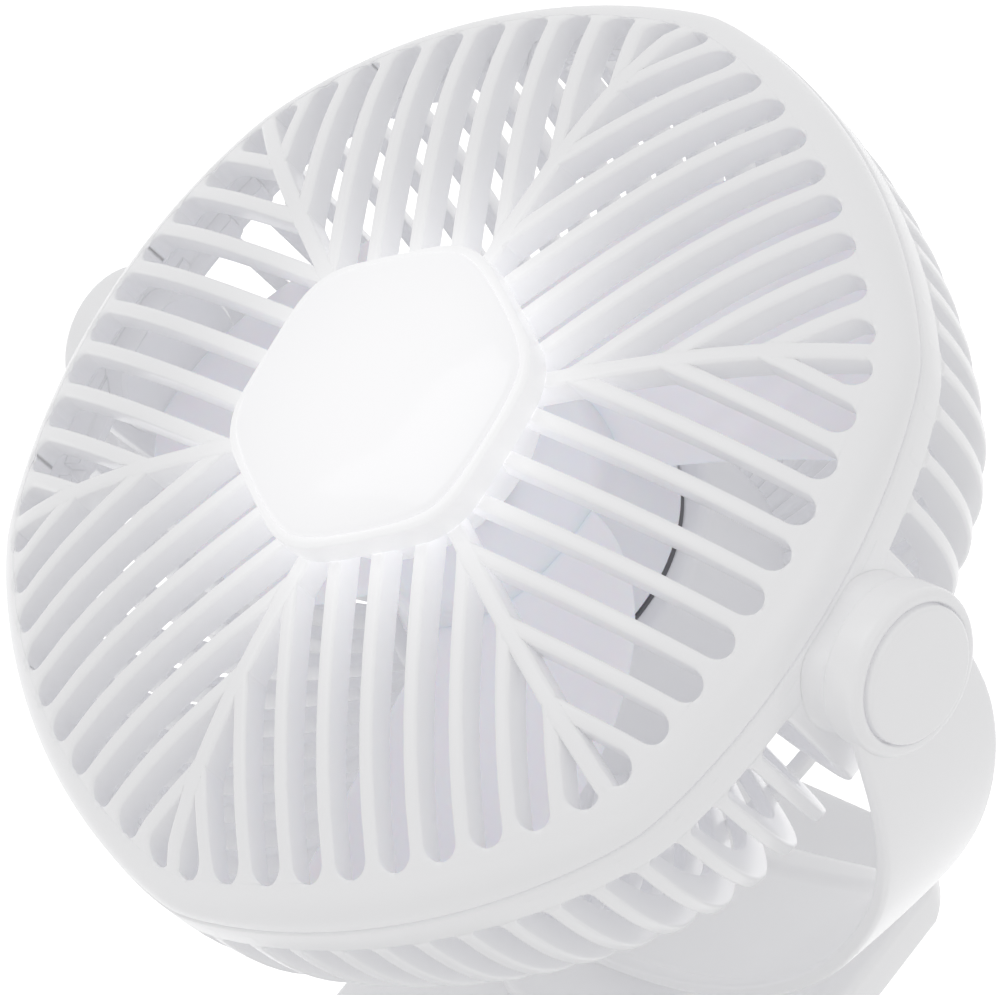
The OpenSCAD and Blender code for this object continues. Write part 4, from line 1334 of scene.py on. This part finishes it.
@dataclass(frozen=True)
class Yoke:
    """The U-shaped yoke: one band with a hollow inner face, two collars, two caps and a foot."""

    half: float = 79.25
    drop: float = 80.0
    corner_r: float = 49.0
    corner_drop: float = 14.6
    width: float = 22.0
    thick: float = 2.6
    hollow: float = 0.8
    collar_in: float = 74.55
    collar_out: float = 80.6
    knob_r: float = 12.0
    cap_r: float = 10.0
    cap_seat: float = 78.6
    cap_rise: float = 1.0
    cap_gap: float = 0.2
    cap_play: float = 0.15
    cap_back: float = 0.1
    cap_dip: float = 0.12
    foot_r: float = 10.5
    foot_t: float = 2.4
    foot_sink: float = 1.0
    disc_r: float = 21.0
    disc_t: float = 3.2
    pin_r: float = 4.06
    swivel_r: float = 3.02
    arm_top: float = 3.0
    arch: float = 0.22
    brim: float = 1.9
    brim_slope: float = 1.0
    bend_share: float = 0.55
    arm_room: float = 2.0
    bend_room: float = -1.3
    back_room: float = 9.5

    def path(self) -> tuple[Array, Array]:
        """The outer line from the right arm's top to the left arm's, and the way inwards at each point.

        Straight arms, corner arcs and a bottom arc that meet without a kink.

        Returns:
            Points in (x, z) and unit normals.
        """
        side, span = self.half - self.corner_r, self.drop - self.corner_drop
        bottom_r = (side ** 2 + span ** 2 - self.corner_r ** 2) / (2 * (span - self.corner_r))
        meet = math.atan2(side, abs(span - bottom_r))
        corner = np.linspace(0, math.pi / 2 - meet, 26)
        bottom = np.linspace(meet, 0, 26)[1:]
        arm = np.linspace(self.arm_top, -self.corner_drop, 8)[:-1]
        points = [np.column_stack([np.full(len(arm), self.half), arm]),
                  np.column_stack([side + self.corner_r * np.cos(corner),
                                   -self.corner_drop - self.corner_r * np.sin(corner)]),
                  np.column_stack([bottom_r * np.sin(bottom),
                                   bottom_r - self.drop - bottom_r * np.cos(bottom)])]
        normals = [np.tile([-1.0, 0.0], (len(arm), 1)),
                   np.column_stack([-np.cos(corner), np.sin(corner)]),
                   np.column_stack([-np.sin(bottom), np.cos(bottom)])]
        line, inward = np.concatenate(points), np.concatenate(normals)
        return (np.concatenate([line, line[-2::-1] * [-1, 1]]),
                np.concatenate([inward, inward[-2::-1] * [-1, 1]]))

    def band(self) -> Array:
        """Sections of the band: flat outside, rounded edges, and a shallow hollow along the inside.

        The band's back half widens towards the bottom, where it carries the swivel.

        Returns:
            Closed sections of shape (rows, columns, 3), from the right arm's top to the left's.
        """
        w, t = self.width / 2, self.thick
        floor, top, foot = t - self.hollow, w - self.brim, w - self.brim - self.brim_slope
        arch = [(x, self.arch * (x / w) ** 2) for x in np.linspace(-w, w, 9)]
        outline = bent([*arch, (w, t), (top, t), (foot, floor), (-foot, floor), (-top, t), (-w, t)],
                       [0.8, *[0] * (len(arch) - 2), 0.8, 0.7, 0.7, 1.2, 1.2, 0.7, 0.7], closed=True)
        line, inward = self.path()
        across, depth = outline[None, :, 0], outline[None, :, 1]
        share = np.clip((-line[:, 1:] - self.corner_drop) / (self.drop - self.corner_drop), 0, 1)
        early = smooth(share / self.bend_share)
        late = smooth((share - self.bend_share) / (1 - self.bend_share))
        room = self.arm_room * smooth(-line[:, 1:] / self.corner_drop)
        room = room + (self.bend_room - self.arm_room) * early + (self.back_room - self.bend_room) * late
        across = across + room * np.clip(across / w, 0, 1)
        x = line[:, :1] + inward[:, :1] * depth
        z = line[:, 1:] + inward[:, 1:] * depth
        return np.stack([x, across, z], -1)

    def collar(self) -> Array:
        """Outline of a collar, bored for the pin and sunk for the cap.

        Returns:
            Its points, as (radius, place along x).
        """
        seat_r = self.cap_r + self.cap_play
        return bent([(self.pin_r, self.collar_in), (self.knob_r, self.collar_in),
                     (self.knob_r, self.collar_out), (seat_r, self.collar_out),
                     (seat_r, self.cap_seat), (self.pin_r, self.cap_seat)],
                    [0, 0.7, 1.3, 0.25, 0, 0], closed=True, steps=8)

    def cap(self, name: str, node: str, side: float) -> None:
        """Builds one crowned cap.

        Args:
            name: The piece's name.
            node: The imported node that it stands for.
            side: 1 for +x and -1 for -x.
        """
        shape = Shape()
        back, face = self.cap_seat + self.cap_back, self.collar_out + self.cap_rise
        wide, dip = self.cap_r - self.cap_gap, self.cap_dip
        line = bent([(0, back), (wide, back), (wide, face - dip), (wide / 2, face - dip / 4), (0, face)],
                    [0, 0.2, 0.7, 3, 0], closed=True, steps=8)
        shape.turned(line * [1, side], 120, along_x=True)
        piece(name, shape, Part.YOKE, "yoke", WHITE, [node])

    def build(self) -> None:
        """Builds the yoke, its caps and the swivel disc below it."""
        shape = Shape()
        shape.bar(self.band())
        for side in (1, -1):
            shape.turned(self.collar() * [1, side], 120, along_x=True)
        low = -self.drop - self.foot_sink
        foot = oblong(self.swivel_r, self.foot_r, low, low + self.foot_t)
        shape.turned(bent(foot, [0, 0.4, 0.2, 0], closed=True))
        piece("hollow_band_yoke", shape, Part.YOKE, "yoke", WHITE, ["yoke"], 40.0)
        self.cap("right_knob_cap", "knob_right", 1.0)
        self.cap("left_knob_cap", "knob_left", -1.0)
        disc = Shape()
        disc.turned(bent(oblong(self.swivel_r, self.disc_r, low - self.disc_t, low), [0, 0.6, 1.1, 0],
                         closed=True, steps=8), 144)
        piece("swivel_disc", disc, Part.YOKE, "yoke", WHITE, ["turntable"])


# ---------------------------------------------------------------- clip


@dataclass(frozen=True)
class Clip:
    """The upper jaw: a rounded plate that narrows to its tip and turns up at the back, with two ears."""

    top: float = -84.5
    thick: float = 7.0
    edge_r: float = 7.0
    ear_x: float = 10.8
    ear_t: float = 4.4
    ear_r: float = 6.0
    ear_foot: float = 12.0
    ear_sink: float = 1.0
    ear_ease: float = 0.5
    flat_in: float = 4.0
    hinge_y: float = -7.0
    hinge_z: float = -104.0
    lip: float = 7.0
    lip_start: float = 21.0
    lip_run: float = 13.0
    # The right half of the plate's corner centres, from its tip to its back.
    corners: tuple[tuple[float, float], ...] = ((20, -63), (32, -2), (28, 27))

    def outline(self, inset: float) -> Array:
        """Outline of the jaw in x and y: a circle rolled round the corners and their mirror images."""
        tip, *others = ((-x, y) for x, y in self.corners)
        return hull_outline([tip, *self.corners, *others[::-1]], self.edge_r - inset, 11)

    def build(self) -> None:
        """Builds the jaw as one piece."""
        shape = Shape()
        low = self.top - self.thick
        levels = bent([(self.flat_in, low), (0, low), (0, self.top), (self.flat_in, self.top)],
                      [0, 1.2, 1.6, 0], closed=False, steps=8)
        shell = np.stack([raised(self.outline(inset), height) for inset, height in levels])
        middle = shell[0].mean(axis=0) * [1, 1, 0]
        shares = np.linspace(0.04, 0.94, 14)[:, None, None]
        under, over = (middle + (ring - middle) * [1, 1, 0] * shares + [0, 0, ring[0, 2]]
                       for ring in (shell[0], shell[-1]))
        plate = np.concatenate([under, shell, over[::-1]])
        plate[..., 2] += self.lip * np.clip((plate[..., 1] - self.lip_start) / self.lip_run, 0, 1) ** 2
        shape.bar(plate)
        arc = np.linspace(math.pi, 2 * math.pi, 19)
        round_end = np.column_stack([self.hinge_y + self.ear_r * np.cos(arc),
                                     self.hinge_z + self.ear_r * np.sin(arc)])
        foot = [[self.hinge_y + y, low + self.ear_sink] for y in (self.ear_foot, -self.ear_foot)]
        ear = np.concatenate([round_end, foot])
        for start in (self.ear_x, -self.ear_x - self.ear_t):
            shape.plate(ear, start, start + self.ear_t, self.ear_ease)
        piece("clip_jaw", shape, Part.YOKE, "jaw", WHITE, ["upper_jaw"])


# ---------------------------------------------------------------- scene


@dataclass(frozen=True)
class Studio:
    """Floor, lamps and camera, in metres."""

    eye: tuple[float, float, float] = (0.641403, -0.619565, 0.526313)
    look: tuple[float, float, float] = (-0.6587, 0.63670, -0.40089)
    roll: float = 0.318
    lens: float = 248.3
    sensor: float = 36.0
    floor_size: float = 6.0
    floor_colour: float = 0.86
    lift: float = 0.75
    sky: float = 0.69
    target: tuple[float, float, float] = (0.0, 0.0, 0.12)
    bounces: int = 16
    diffuse_bounces: int = 12

    def camera(self) -> None:
        """Puts the camera at the eye, looking along the look direction, rolled a little."""
        data = bpy.data.cameras.new("camera")
        data.lens, data.sensor_width, data.clip_start = self.lens, self.sensor, 0.01
        made = bpy.data.objects.new("camera", data)
        turn = Vector(self.look).to_track_quat("-Z", "Y").to_matrix().to_4x4()
        roll = Matrix.Rotation(math.radians(self.roll), 4, "Z")
        made.matrix_world = Matrix.Translation(self.eye) @ turn @ roll
        bpy.context.scene.collection.objects.link(made)
        bpy.context.scene.camera = made

    def lamp(self, name: str, place: tuple[float, float, float], size: float, power: float) -> None:
        """Hangs a square soft lamp that faces the fan.

        Args:
            name: The lamp's name.
            place: Where it hangs.
            size: Its side.
            power: Its power in watts.
        """
        data = bpy.data.lights.new(name, "AREA")
        data.shape, data.size, data.energy = "SQUARE", size, power
        made = bpy.data.objects.new(name, data)
        aim = Vector(self.target) - Vector(place)
        made.location = place
        made.rotation_euler = aim.to_track_quat("-Z", "Y").to_euler()
        bpy.context.scene.collection.objects.link(made)

    def floor(self) -> None:
        """Lays the pale floor; seen by the camera it is lifted to white but keeps its shadow."""
        half = self.floor_size / 2
        mesh = bpy.data.meshes.new("floor")
        mesh.from_pydata([(x, y, 0) for x, y in oblong(-half, half, -half, half)], [], [(0, 1, 2, 3)])
        made = bpy.data.objects.new("floor", mesh)
        bpy.context.scene.collection.objects.link(made)
        shader = Shader(bpy.data.materials.new("pale_floor"))
        seen = self.seen(shader)
        plain = shader.node("ShaderNodeBsdfDiffuse", {}, {"Color": (*[self.floor_colour] * 3, 1.0)})
        glow = shader.node("ShaderNodeEmission", {}, {"Color": (1, 1, 1, 1), "Strength": self.lift})
        both = shader.node("ShaderNodeAddShader", {}, {0: plain.outputs[0], 1: glow.outputs[0]})
        mixed = shader.node("ShaderNodeMixShader", {}, {0: seen, 1: plain.outputs[0], 2: both.outputs[0]})
        shader.node("ShaderNodeOutputMaterial", {}, {"Surface": mixed.outputs[0]})
        mesh.materials.append(shader.owner)

    @staticmethod
    def seen(shader: Shader) -> Value:
        """Tells the rays that see a surface from those that only carry its light.

        Args:
            shader: The shader that asks.

        Returns:
            1 for camera, glossy and transmission rays, and 0 for the rest.
        """
        path = shader.node("ShaderNodeLightPath").outputs
        rays = [Value(shader, path[n]) for n in ("Is Camera Ray", "Is Glossy Ray", "Is Transmission Ray")]
        return shader.math("MAXIMUM", shader.math("MAXIMUM", rays[0], rays[1]), rays[2])

    def sky_light(self) -> None:
        """Makes the world white to the eye and a soft even light to everything else."""
        shader = Shader(bpy.data.worlds.new("sky"))
        bpy.context.scene.world = shader.owner
        strength = self.seen(shader) * (1 - self.sky) + self.sky
        back = shader.node("ShaderNodeBackground", {}, {"Color": (1, 1, 1, 1), "Strength": strength})
        shader.node("ShaderNodeOutputWorld", {}, {"Surface": back.outputs[0]})

    def build(self) -> None:
        """Sets up the whole studio."""
        scene = bpy.context.scene
        scene.view_settings.view_transform = "Standard"
        scene.cycles.max_bounces, scene.cycles.diffuse_bounces = self.bounces, self.diffuse_bounces
        self.camera()
        self.floor()
        self.sky_light()
        self.lamp("key_lamp", (-0.5, -0.9, 1.3), 0.9, 2.2)
        self.lamp("side_lamp", (1.2, -0.3, 0.7), 0.8, 1.0)


def main() -> None:
    """Builds the studio and every piece in order."""
    logging.basicConfig(level=logging.INFO, format="%(message)s")
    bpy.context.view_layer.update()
    Studio().build()
    dress_nodes()
    Grille().build()
    Lamp().build()
    shell = RearShell()
    shell.build()
    shell.build_cup()
    Impeller().build()
    Yoke().build()
    Clip().build()


if __name__ == "__main__":
    main()
